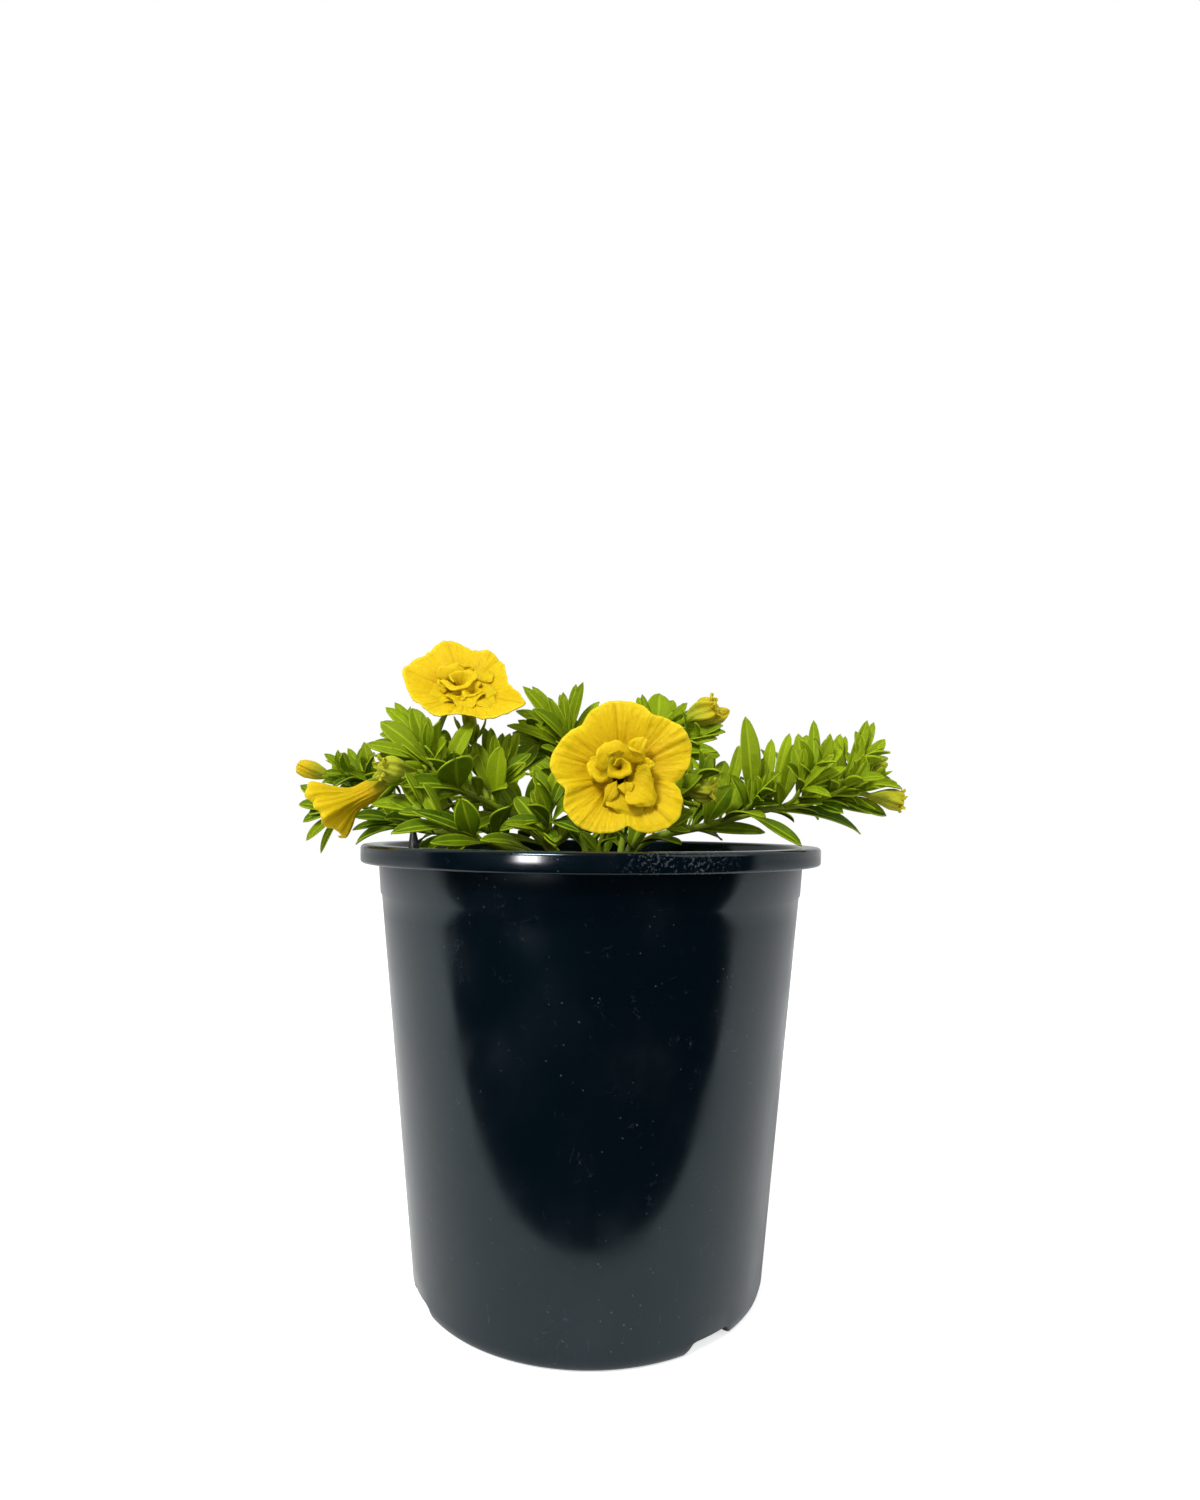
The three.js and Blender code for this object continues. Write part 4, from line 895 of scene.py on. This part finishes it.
def limb(bm, name, frame, edge, size):
    """The open flower's five joined lobes: a line spun round, then shaped by lobe, vein and ruffle"""
    across_layer, along_layer, tone_layer, fold_layer = layers(bm)
    before = set(bm.verts)
    rings = 20
    line = [bm.verts.new((lerp(0.02, 1, i / rings), 0, 0)) for i in range(rings + 1)]
    edges = [bm.edges.new(pair) for pair in zip(line, line[1:])]
    bmesh.ops.spin(bm, geom=line + edges, cent=(0, 0, 0), axis=(0, 0, 1), dvec=(0, 0, 0),
                   angle=2 * math.pi, steps=240, use_merge=True)
    verts = [vert for vert in bm.verts if vert not in before]
    bmesh.ops.remove_doubles(bm, verts=verts, dist=0.0001)
    verts = [vert for vert in bm.verts if vert not in before]
    cone = CONE[name]
    for vert in verts:
        s = vert.co.xy.length
        turn = math.atan2(vert.co.y, vert.co.x)
        degrees = math.degrees(turn)
        reach = SHRINK[name] * edge_radius(edge, degrees) + 0.25 * noise.noise(Vector((3.1 * turn, 7.7, size)))
        radius = lerp(1.8, reach, s)
        near = min(abs((degrees - vein + 180) % 360 - 180) for vein in VEINS[name])
        vein = math.exp(-(near / 1.1) ** 2) * smooth(0.1, 0.4, s)
        groove = 0.5 * math.exp(-(near / 2.4) ** 2) * smooth(0.1, 0.4, s) * (1 - 0.5 * s)
        ridge = 0.5 * math.exp(-(near / 12) ** 2) * smooth(0.1, 0.7, s)
        ruffle = 0.4 * s ** 5 * math.sin(11 * turn + 2 * math.sin(2 * turn))
        ruffle += 1.3 * s ** 3 * noise.noise(Vector((2.0 * math.cos(turn), 2.0 * math.sin(turn), 1.7 * s + size)))
        wrinkle = 0.6 * s * noise.noise(Vector((13 * math.cos(turn), 13 * math.sin(turn), 1.6 * s)))
        wrinkle += 0.28 * s * (1 - s ** 4) * noise.noise(Vector((29 * math.cos(turn), 29 * math.sin(turn), 2.4 * s)))
        curl = -0.7 * smooth(0.86, 1, s) if name == "bloom_front" else 0
        lean = 2.7 * s * s * max(-math.sin(turn + 0.35), 0) if name == "bloom_front" else 0
        z = cone * s ** 1.2 - 4.6 * (1 - s) ** 9 + ridge - groove + ruffle + wrinkle + curl + lean
        vert.co = Vector((radius * math.cos(turn), radius * math.sin(turn), z))
        vert[across_layer] = abs(turn) / math.pi
        vert[along_layer] = s
        vert[tone_layer] = 0.75 + 0.25 * smooth(0.1, 0.4, s)
        vert[fold_layer] = vein
    thicken(bm, list({face for vert in verts for face in vert.link_faces}), sizes().petal_thickness / MM)


def inner_petal(bm, row, tone=1.0):
    """A petal of the double heart: it rises from its root, arches over, and is cupped and ruffled"""
    root, heading, length, width, rise, fall, cup, ruffle, seed = row
    across_layer, along_layer, tone_layer, fold_layer = layers(bm)
    pick = draws(seed)
    phase, lean = 6.28 * next(pick), 0.5 * (next(pick) - 0.5)
    grid = bmesh.ops.create_grid(bm, x_segments=20, y_segments=20, size=0.5)["verts"]
    turn = math.radians(heading)
    out = Vector((math.cos(turn), math.sin(turn), 0))
    side = Vector((-math.sin(turn), math.cos(turn), 0))
    steps = 32
    spine = [Vector(root)]
    ways = []
    for i in range(steps):
        lift = math.radians(lerp(rise, fall, smooth(0, 1, (i + 0.5) / steps)))
        way = out * math.cos(lift) + Vector((0, 0, math.sin(lift)))
        spine.append(spine[-1] + way * length / steps)
        ways.append(way)
    ways.append(ways[-1])
    for vert in grid:
        u, t = 2 * vert.co.x, vert.co.y + 0.5
        reach = t * (1 - 0.4 * abs(u) ** 2.4 * t) * (1 + 0.06 * t * math.sin(5 * u + phase))
        step = min(reach, 1) * steps
        i = min(int(step), steps - 1)
        centre = spine[i].lerp(spine[i + 1], step - i)
        way = ways[i]
        up = way.cross(side) * -1
        if up.z < 0:
            up = -up
        half = 0.5 * width * lerp(0.28, 1, smooth(0, 0.6, t)) * (1 - 0.3 * smooth(0.62, 1, t))
        bend = math.radians(abs(cup)) * u * smooth(0, 0.5, t)
        spread = half * (math.sin(bend) / math.radians(abs(cup)) if cup else u)
        lift = half * (1 - math.cos(bend)) / math.radians(abs(cup)) * math.copysign(1, cup)
        lift += ruffle * t ** 2 * (0.35 + 0.65 * abs(u)) * math.sin(6.5 * u + phase + 2.2 * t)
        lift += 0.5 * ruffle * t ** 3 * math.sin(15 * u + 2 * phase)
        lift += 0.14 * noise.noise(Vector((5 * u, 1.5 * t, seed)))
        lift -= 0.2 * math.exp(-(u / 0.09) ** 2) * smooth(0.1, 0.5, t)
        lift -= 0.45 * smooth(0.8, 1, max(t, abs(u) ** 1.5)) * smooth(0.2, 0.6, t)
        vert.co = centre + side * (spread + lean * length * t * t) + up * lift
        vert[across_layer] = 0.25 * u + 0.3
        vert[along_layer] = 0.4 + 0.6 * t
        vert[tone_layer] = tone * lerp(0.6, 1, t) if tone < 1 else 1.0
    thicken(bm, list({face for vert in grid for face in vert.link_faces}), sizes().petal_thickness / MM)


def rolled_petal(bm, foot, radius, height, turns, start, seed):
    """A petal rolled into a little horn: narrow at its foot, with a rim that turns over"""
    across_layer, along_layer, tone_layer, fold_layer = layers(bm)
    grid = bmesh.ops.create_grid(bm, x_segments=56, y_segments=14, size=0.5)["verts"]
    for vert in grid:
        t, v = vert.co.x + 0.5, vert.co.y + 0.5
        turn = math.radians(start) + 2 * math.pi * turns * t
        inward = 1 - 0.55 * smooth(0.2, 1, t)
        reach = radius * inward * (0.12 + 0.88 * v ** 1.25)
        reach *= 1 + 0.08 * v * math.sin(3 * turn + seed) + 0.05 * v * math.sin(7 * turn + 2 * seed)
        z = height * (1 - 0.1 * t) * (1 - (1 - v) ** 1.6) + 0.35 * v * math.sin(2 * turn + seed)
        z -= 0.5 * smooth(0.8, 1, v)
        vert.co = Vector(foot) + Vector((reach * math.cos(turn), reach * math.sin(turn), z))
        vert[across_layer] = t
        vert[along_layer] = 0.35 + 0.65 * v
        vert[tone_layer] = 1.0
    thicken(bm, list({face for vert in grid for face in vert.link_faces}), sizes().petal_thickness / MM)


def corolla_tube(bm, length, radius, mouth):
    """The narrow tube under the limb, ribbed, olive at its foot"""
    across_layer, along_layer, tone_layer, fold_layer = layers(bm)
    before = set(bm.verts)
    places = [(0, 0), (0.5, 0.0)] + [(1, i / 14) for i in range(1, 15)]
    line = [bm.verts.new((r * 1.0 + 0.0001 * i, 0, z)) for i, (r, z) in enumerate(places)]
    edges = [bm.edges.new(pair) for pair in zip(line, line[1:])]
    bmesh.ops.spin(bm, geom=line + edges, cent=(0, 0, 0), axis=(0, 0, 1), dvec=(0, 0, 0),
                   angle=2 * math.pi, steps=40, use_merge=True)
    verts = [vert for vert in bm.verts if vert not in before]
    bmesh.ops.remove_doubles(bm, verts=verts, dist=0.00001)
    verts = [vert for vert in bm.verts if vert not in before]
    for vert in verts:
        t, reach = vert.co.z, vert.co.xy.length
        turn = math.atan2(vert.co.y, vert.co.x)
        swell = radius * (0.8 + 0.5 * math.sin(math.pi * min(t * 1.1, 1)) * 0.6)
        swell = lerp(swell, mouth, smooth(0.6, 1, t)) * (1 + 0.05 * math.cos(10 * turn))
        vert.co = Vector((reach * swell * math.cos(turn), reach * swell * math.sin(turn), -length + (length - 3.4) * t))
        vert[across_layer] = abs(turn) / math.pi
        vert[along_layer] = 0.4 + 0.3 * t
        vert[tone_layer] = 0.1 + 0.5 * smooth(0.3, 1, t)
    return verts


def turned(bm, before, matrix):
    bmesh.ops.transform(bm, matrix=matrix, verts=[vert for vert in bm.verts if vert not in before])


def build_bloom(name, edge, petals, rolls):
    bm = bmesh.new()
    layers(bm)
    bloom = BLOOMS[name]
    place = frame_at(*POSED[name])
    limb(bm, name, place, edge, bloom["seed"])
    for row in petals:
        inner_petal(bm, row)
    for row in rolls:
        rolled_petal(bm, *row)
    bmesh.ops.transform(bm, matrix=place, verts=bm.verts)
    before = set(bm.verts)
    corolla_tube(bm, BLOOM_TUBE, 1.9, 2.9)
    turned(bm, before, frame_at(bloom["centre"], bloom["facing"]))
    return add_piece(name + "_petals", bm, [petal_material()], [name])


def build_trumpet():
    """The flower that is half open: a funnel whose lobes are still folded and crumpled"""
    bm = bmesh.new()
    across_layer, along_layer, tone_layer, fold_layer = layers(bm)
    line = [bm.verts.new((1, 0, i / 30)) for i in range(31)]
    edges = [bm.edges.new(pair) for pair in zip(line, line[1:])]
    bmesh.ops.spin(bm, geom=line + edges, cent=(0, 0, 0), axis=(0, 0, 1), dvec=(0, 0, 0),
                   angle=2 * math.pi, steps=140, use_merge=True)
    bmesh.ops.remove_doubles(bm, verts=bm.verts, dist=0.00001)
    mouth = TRUMPET["mouth"]
    for vert in bm.verts:
        t = vert.co.z
        turn = math.atan2(vert.co.y, vert.co.x)
        flare = smooth(0.42, 1, t)
        radius = lerp(1.7 + 1.2 * math.sin(math.pi * min(t * 1.4, 1)), mouth, flare ** 1.3)
        radius *= 1 + 0.09 * flare * math.cos(5 * turn + 0.8 * t) + 0.05 * flare * math.cos(12 * turn + 1)
        radius *= 1 + 0.035 * smooth(0.2, 0.5, t) * math.cos(20 * turn + math.sin(3 * turn))
        radius *= 1 - 0.14 * smooth(0.86, 1, t) ** 2
        radius += 1.1 * flare * noise.noise(Vector((2 * math.cos(turn), 2 * math.sin(turn), 2 * t)))
        z = -TRUMPET_TUBE * (1 - t)
        z += 0.8 * smooth(0.75, 1, t) * math.cos(5 * turn + 2.4) - 0.8 * smooth(0.9, 1, t)
        z += 3.2 * smooth(0.6, 1, t) * (0.5 + 0.5 * math.sin(turn)) ** 2
        z += 1.6 * flare * noise.noise(Vector((3 * math.cos(turn) + 5, 3 * math.sin(turn), t)))
        vert.co = Vector((radius * math.cos(turn), radius * math.sin(turn), z))
        vert[across_layer] = abs(turn) / math.pi
        vert[along_layer] = 0.35 + 0.65 * t
        vert[tone_layer] = 0.1 + 0.9 * smooth(0.0, 0.5, t)
    thicken(bm, list(bm.faces), sizes().petal_thickness / MM)
    # Folded lobes inside the mouth
    for row in (((0, 0, -7), 40, 9, 10, 70, 46, 50, 0.8, 41), ((0, 0, -7), 150, 9, 10, 68, 40, 50, 0.8, 42),
                ((0, 0, -7), 265, 9, 10, 70, 44, 50, 0.8, 43)):
        inner_petal(bm, row)
    bmesh.ops.transform(bm, matrix=frame_at(TRUMPET["centre"], TRUMPET["facing"]), verts=bm.verts)
    return add_piece("half_open_petals", bm, [petal_material()], ["bloom_half_open"])


def build_bud(name):
    """A closed bud: pleated and twisted, olive at its foot and yellow where it opens"""
    bud = BUDS[name]
    base, tip = Vector(bud["base"]), Vector(bud["tip"])
    length = (tip - base).length
    blunt = bud.get("blunt", 0)
    bm = bmesh.new()
    across_layer, along_layer, tone_layer, fold_layer = layers(bm)
    line = [bm.verts.new((math.sin(math.pi * i / 24), 0, 0.5 - 0.5 * math.cos(math.pi * i / 24))) for i in range(25)]
    edges = [bm.edges.new(pair) for pair in zip(line, line[1:])]
    bmesh.ops.spin(bm, geom=line + edges, cent=(0, 0, 0), axis=(0, 0, 1), dvec=(0, 0, 0),
                   angle=2 * math.pi, steps=48, use_merge=True)
    bmesh.ops.remove_doubles(bm, verts=bm.verts, dist=0.0001)
    for vert in bm.verts:
        t, ring = vert.co.z, vert.co.xy.length
        turn = math.atan2(vert.co.y, vert.co.x)
        swell = 0.16 + math.sin(math.pi * min(t, 0.999) ** 1.6) * 0.84 + blunt * t * t
        full = min(ring / 0.35, 1)
        pleat = 1 + 0.2 * t * math.cos(5 * turn) + 0.12 * t * math.cos(11 * turn + 4 * t)
        pleat += 0.12 * t * noise.noise(Vector((2 * math.cos(turn), 2 * math.sin(turn), 3 * t + length)))
        radius = bud["radius"] * swell * pleat * full
        twist = turn + 1.1 * t
        vert.co = Vector((radius * math.cos(twist), radius * math.sin(twist), length * t))
        vert[across_layer] = 0.4 * abs(turn) / math.pi
        vert[along_layer] = 0.3 + 0.5 * t
        vert[tone_layer] = bud["ripe"] * smooth(0.2, 1.0, t)
    bmesh.ops.recalc_face_normals(bm, faces=bm.faces)
    # A bud that starts to open shows the ruffled tips of its lobes
    for i in range(5 if bud["radius"] > 2.5 or blunt > 0.6 else 0):
        turn = math.radians(72 * i + 20)
        reach = 0.42 * bud["radius"]
        root = (reach * math.cos(turn), reach * math.sin(turn), 0.5 * length)
        inner_petal(bm, (root, 72 * i + 20, 0.56 * length, 1.4 * bud["radius"], 86, 60, 60, 0.5, 60 + i),
                    bud["ripe"] + 0.12)
    bmesh.ops.transform(bm, matrix=frame_at(base, tip - base), verts=bm.verts)
    return add_piece(name + "_petals", bm, [petal_material()], [name])


# Stems and leaves


def seat_of(flower):
    """Where the calyx of a flower or bud sits, and which way it looks"""
    bud = BUDS.get(flower)
    if bud:
        facing = (Vector(bud["tip"]) - Vector(bud["base"])).normalized()
        return Vector(bud["base"]) - facing * (RECEPTACLE + GAP), facing
    bloom = BLOOMS.get(flower, TRUMPET)
    length = BLOOM_TUBE if flower in BLOOMS else TRUMPET_TUBE
    facing = Vector(bloom["facing"]).normalized()
    return Vector(bloom["centre"]) - facing * (length + RECEPTACLE + GAP), facing


def calyx(bm, flower, pick):
    """Five narrow sepals round the foot of a flower or bud"""
    centre, facing = seat_of(flower)
    place = frame_at(centre, facing)
    before = set(bm.verts)
    bmesh.ops.create_uvsphere(bm, u_segments=14, v_segments=8, radius=RECEPTACLE)
    small = BUDS.get(flower, {}).get("radius", 4) < 3
    length = 9.0 if not small else 7.0
    for i in range(5):
        turn = 2 * math.pi * (i + 0.25) / 5
        out = Vector((math.cos(turn), math.sin(turn), 0))
        tip = out * (4.4 + 1.4 * next(pick)) + Vector((0, 0, length * (0.85 + 0.3 * next(pick))))
        grid = blade(bm, out * 0.5, tip, 2.1 if not small else 1.6, facing=-out, arch=-0.12, fold=0.3, columns=4,
                     rows=10, widest=0.5, foot=0.6, tone=0.55 + 0.3 * next(pick), phase=6.28 * next(pick))
        thicken(bm, list({face for vert in grid for face in vert.link_faces}), 0.4)
    turned(bm, before, place)


def leaf_rows(rule, route, pick, more):
    """Leaves by rule all round a branch, at the golden angle, smaller and steeper towards its end"""
    rows = []
    count = rule["count"] * more
    for i in range(count):
        part = (i + 0.5) / count
        t = lerp(rule["from"], rule["to"], part ** 0.8)
        along = route.along(t)
        level = Vector((-along.y, along.x, 0))
        level = level.normalized() if level.length > 1e-4 else Vector((1, 0, 0))
        out = Matrix.Rotation(i * GOLDEN_ANGLE + next(pick), 3, along) @ level
        lean = math.radians(lerp(68, 34, part))
        reach = rule["length"] * (1.15 - 0.45 * part) * (0.75 + 0.45 * next(pick))
        way = along * math.cos(lean) + out * math.sin(lean)
        way.z += 0.35
        tip = route.at(t) + way.normalized() * reach
        rows.append((t, *tip, reach * (0.24 + 0.1 * next(pick))))
    return rows


def build_stem(name, branches, seed, flowers):
    """One stem with its branches, its leaves and the calyces that it carries"""
    bm = bmesh.new()
    layers(bm)
    pick = draws(seed + 1)
    thickness = sizes().leaf_thickness / MM
    for index, branch in enumerate(branches):
        places = list(branch["route"])
        if branch.get("flower"):
            places.append(tuple(seat_of(branch["flower"])[0]))
        route = Route(places)
        steps = max(6, int(sum((Vector(b) - Vector(a)).length for a, b in zip(places, places[1:])) / 2))
        points = [route.at(i / steps) for i in range(steps + 1)]
        radius = branch["radius"]
        radii = [radius * lerp(1.12, 0.72, i / steps) for i in range(steps + 1)]
        before = set(bm.faces)
        tube(bm, points, radii, 10)
        for face in bm.faces:
            if face not in before:
                face.material_index = 1
        if branch.get("flower"):
            calyx(bm, branch["flower"], pick)
    rows = []
    for shoot in SHOOTS.get(name, ()):
        route = Route(shoot["route"])
        before = set(bm.faces)
        tube(bm, [route.at(i / 8) for i in range(9)], [lerp(0.8, 0.5, i / 8) for i in range(9)], 8)
        for face in bm.faces:
            if face not in before:
                face.material_index = 1
        rule = {"count": shoot["count"], "from": 0.15, "to": 1.0, "length": shoot["length"]}
        axis = (route.along(0.8) + Vector((0, -0.5, 0.5))).normalized()
        rows += [(route, row, axis) for row in leaf_rows(rule, route, pick, 1)]
    for branch in branches:
        route = Route(branch["route"])
        rows += [(route, row, None) for row in branch.get("leaves", ())]
        if branch.get("by_rule"):
            rows += [(route, row, UP) for row in leaf_rows(branch["by_rule"], route, pick, sizes().extra_leaves)]
    for route, (t, x, y, z, width), facing in rows:
        base, tip = route.at(t), Vector((x, y, z))
        reach = (tip - base).length
        if pierces(flowers, base, tip):
            continue
        large = width > 3.9
        young = 0.3 * smooth(138, 170, z) + 0.22 * smooth(35, 60, x) * smooth(140, 155, z) - 0.12 * smooth(-10, 25, y)
        tone = young + 0.64 * next(pick)
        grid = blade(bm, base, tip, width * 1.28, roll=(0.9 if facing else 0.45) * (next(pick) - 0.5),
                     arch=0.03 + 0.09 * next(pick), fold=0.12 + 0.3 * next(pick), widest=0.55 + 0.1 * next(pick),
                     wave=0.01 + 0.025 * next(pick), tone=min(max(tone, 0), 1), columns=8 if large else 6,
                     rows=16 if large else 11, phase=6.28 * next(pick), curl=0.07 * next(pick),
                     facing=facing or FORWARD)
        thicken(bm, list({face for vert in grid for face in vert.link_faces}), thickness)
    bmesh.ops.recalc_face_normals(bm, faces=bm.faces)
    return add_piece(name + "_leaves", bm, [leaf_material(), stem_material()], [name])


def pierces(flowers, base, tip):
    """Whether a leaf's line runs through a flower or bud"""
    way = (tip - base) * MM
    hit = flowers.ray_cast(base * MM + way * 0.15, way.normalized(), way.length * 0.9)
    return hit[0] is not None


def flower_tree(pieces):
    """All petals as one tree for ray casts"""
    verts, faces = [], []
    for piece in pieces:
        first = len(verts)
        verts += [vert.co.copy() for vert in piece.data.vertices]
        faces += [[first + i for i in face.vertices] for face in piece.data.polygons]
    return BVHTree.FromPolygons(verts, faces)


# Stage


# The white sheet under the pot ends this far in front of it, and the dark room beyond it shows in the gloss
SHEET_EDGE = -0.098


def build_stage():
    """A white sheet under the pot that ends in front of it, soft light all round and the camera"""
    bm = bmesh.new()
    bmesh.ops.create_grid(bm, x_segments=1, y_segments=1, size=3)
    for vert in bm.verts:
        vert.co.y = max(vert.co.y, SHEET_EDGE)
        vert.co.z = -0.0003
    mesh = bpy.data.meshes.new("studio_floor")
    bm.to_mesh(mesh)
    bm.free()
    floor = bpy.data.objects.new("studio_floor", mesh)
    bpy.context.collection.objects.link(floor)
    material, n = new_material("studio_floor")
    grain = n.noise(n.place(), 0.05, 3.0)
    colour = n.mix(n.ramp(grain, 0.4, 0.6), (0.87, 0.87, 0.87), (0.9, 0.9, 0.9))
    shader = n.finish(Base_Color=colour, Roughness=0.9, Specular_IOR_Level=0.0)
    # To the camera the sheet is lit through, so that it melts into the white behind it
    white = n.add("ShaderNodeEmission", {"Color": (1, 1, 1), "Strength": 0.66}).outputs[0]
    lifted = n.add("ShaderNodeAddShader")
    n.tree.links.new(shader.outputs[0], lifted.inputs[0])
    n.tree.links.new(white, lifted.inputs[1])
    seen = n.add("ShaderNodeMixShader", {"Fac": n.add("ShaderNodeLightPath").outputs["Is Camera Ray"]})
    n.tree.links.new(shader.outputs[0], seen.inputs[1])
    n.tree.links.new(lifted.outputs[0], seen.inputs[2])
    output = next(node for node in n.tree.nodes if node.type == "OUTPUT_MATERIAL")
    n.tree.links.new(seen.outputs[0], output.inputs["Surface"])
    mesh.materials.append(material)

    world = bpy.data.worlds.new("studio")
    bpy.context.scene.world = world
    world.use_nodes = True
    tree = world.node_tree
    tree.nodes.clear()
    n = Nodes.__new__(Nodes)
    n.tree = tree
    way = n.add("ShaderNodeTexCoord").outputs["Generated"]
    split = n.add("ShaderNodeSeparateXYZ", {"Vector": way})
    turn = n.math("ABSOLUTE", n.math("ARCTAN2", split.outputs["X"], n.math("MULTIPLY", split.outputs["Y"], -1.0)))
    front = n.ramp(turn, 1.50, 1.38)
    path = n.add("ShaderNodeLightPath")
    glossy = n.mix(front, (0.62, 0.62, 0.62), (0.003, 0.006, 0.01))
    # A small lamp to the left at the rim's height, which only the gloss shows
    left = n.math("ARCTAN2", split.outputs["X"], n.math("MULTIPLY", split.outputs["Y"], -1.0))
    aside = n.math("ABSOLUTE", n.math("ADD", left, 0.5))
    lamp = n.math("MULTIPLY", n.ramp(aside, 0.12, 0.05), n.ramp(split.outputs["Z"], -0.09, -0.04))
    lamp = n.math("MULTIPLY", lamp, n.ramp(split.outputs["Z"], 0.3, 0.12))
    glossy = n.mix(lamp, glossy, (48.0, 38.0, 36.0))
    colour = n.mix(path.outputs["Is Glossy Ray"], (0.56, 0.565, 0.57), glossy)
    colour = n.mix(path.outputs["Is Camera Ray"], colour, (1.0, 1.0, 1.0))
    background = n.add("ShaderNodeBackground", {"Color": colour, "Strength": 1.0})
    output = n.add("ShaderNodeOutputWorld")
    tree.links.new(background.outputs[0], output.inputs["Surface"])

    for name, place, size, power, aim in (
        ("key", (-0.42, -0.78, 0.92), 0.3, 13.5, (0, 0, 0.13)),
        ("fill", (0.8, -0.5, 0.6), 0.7, 2.0, (0, 0, 0.13)),
    ):
        data = bpy.data.lights.new(name, "AREA")
        data.size = size
        data.energy = power
        light = bpy.data.objects.new(name, data)
        bpy.context.collection.objects.link(light)
        light.location = place
        light.rotation_euler = (Vector(aim) - Vector(place)).to_track_quat("-Z", "Y").to_euler()

    data = bpy.data.cameras.new("camera")
    data.lens = 20.1
    data.shift_x = 0.006
    data.shift_y = 0.048
    data.clip_start = 0.01
    camera = bpy.data.objects.new("camera", data)
    bpy.context.collection.objects.link(camera)
    camera.location = (0, -0.264, 0.139)
    camera.rotation_euler = (math.radians(90), math.radians(CAMERA_ROLL), 0)
    bpy.context.scene.camera = camera
    scene = bpy.context.scene
    scene.view_settings.view_transform = "Standard"
    scene.view_settings.look = "None"


CAMERA_ROLL = -0.48


# Operators


class OBJECT_OT_calibrachoa_pot(bpy.types.Operator):
    """Build the nursery pot with its notched foot"""

    bl_idname = "object.calibrachoa_pot"
    bl_label = "Nursery Pot"

    def execute(self, context):
        build_pot()
        return {"FINISHED"}


class OBJECT_OT_calibrachoa_soil(bpy.types.Operator):
    """Build the potting mix and the plastic stub that stands in it"""

    bl_idname = "object.calibrachoa_soil"
    bl_label = "Potting Mix"

    def execute(self, context):
        build_soil()
        build_stub()
        return {"FINISHED"}


class OBJECT_OT_calibrachoa_flowers(bpy.types.Operator):
    """Build the open flowers, the half-open one and the buds"""

    bl_idname = "object.calibrachoa_flowers"
    bl_label = "Flowers and Buds"

    def execute(self, context):
        build_bloom("bloom_front", FRONT_EDGE, FRONT_PETALS, FRONT_ROLLS)
        build_bloom("bloom_upper_left", UPPER_EDGE, UPPER_PETALS, UPPER_ROLLS)
        build_trumpet()
        for name in BUDS:
            build_bud(name)
        return {"FINISHED"}


class OBJECT_OT_calibrachoa_foliage(bpy.types.Operator):
    """Build every stem with its leaves and calyces"""

    bl_idname = "object.calibrachoa_foliage"
    bl_label = "Stems and Leaves"

    def execute(self, context):
        petals = [piece for piece in bpy.context.scene.objects if piece.name.endswith("_petals")]
        if not petals:
            self.report({"ERROR"}, "Build the flowers first")
            return {"CANCELLED"}
        tree = flower_tree(petals)
        for seed, (name, branches) in enumerate(STEMS.items()):
            build_stem(name, branches, seed, tree)
        return {"FINISHED"}


class OBJECT_OT_calibrachoa_stage(bpy.types.Operator):
    """Build the floor, the light and the camera"""

    bl_idname = "object.calibrachoa_stage"
    bl_label = "Studio Stage"

    def execute(self, context):
        build_stage()
        return {"FINISHED"}


class VIEW3D_PT_calibrachoa(bpy.types.Panel):
    """Settings and pieces of the potted calibrachoa"""

    bl_label = "Potted Calibrachoa"
    bl_space_type = "VIEW_3D"
    bl_region_type = "UI"
    bl_category = "Calibrachoa"

    def draw(self, context):
        for settings in (context.scene.calibrachoa_sizes, context.scene.calibrachoa_colours):
            box = self.layout.box()
            for name in settings.__annotations__:
                box.prop(settings, name)
        for operator in OPERATORS:
            self.layout.operator(operator.bl_idname)


OPERATORS = (
    OBJECT_OT_calibrachoa_pot,
    OBJECT_OT_calibrachoa_soil,
    OBJECT_OT_calibrachoa_flowers,
    OBJECT_OT_calibrachoa_foliage,
    OBJECT_OT_calibrachoa_stage,
)
CLASSES = (CalibrachoaSizes, CalibrachoaColours, *OPERATORS, VIEW3D_PT_calibrachoa)


def register():
    for cls in CLASSES:
        bpy.utils.register_class(cls)
    bpy.types.Scene.calibrachoa_sizes = PointerProperty(type=CalibrachoaSizes)
    bpy.types.Scene.calibrachoa_colours = PointerProperty(type=CalibrachoaColours)


def unregister():
    del bpy.types.Scene.calibrachoa_colours
    del bpy.types.Scene.calibrachoa_sizes
    for cls in reversed(CLASSES):
        bpy.utils.unregister_class(cls)


def main():
    register()
    bpy.ops.object.calibrachoa_pot()
    bpy.ops.object.calibrachoa_soil()
    bpy.ops.object.calibrachoa_flowers()
    bpy.ops.object.calibrachoa_foliage()
    bpy.ops.object.calibrachoa_stage()


if __name__ == "__main__":
    main()
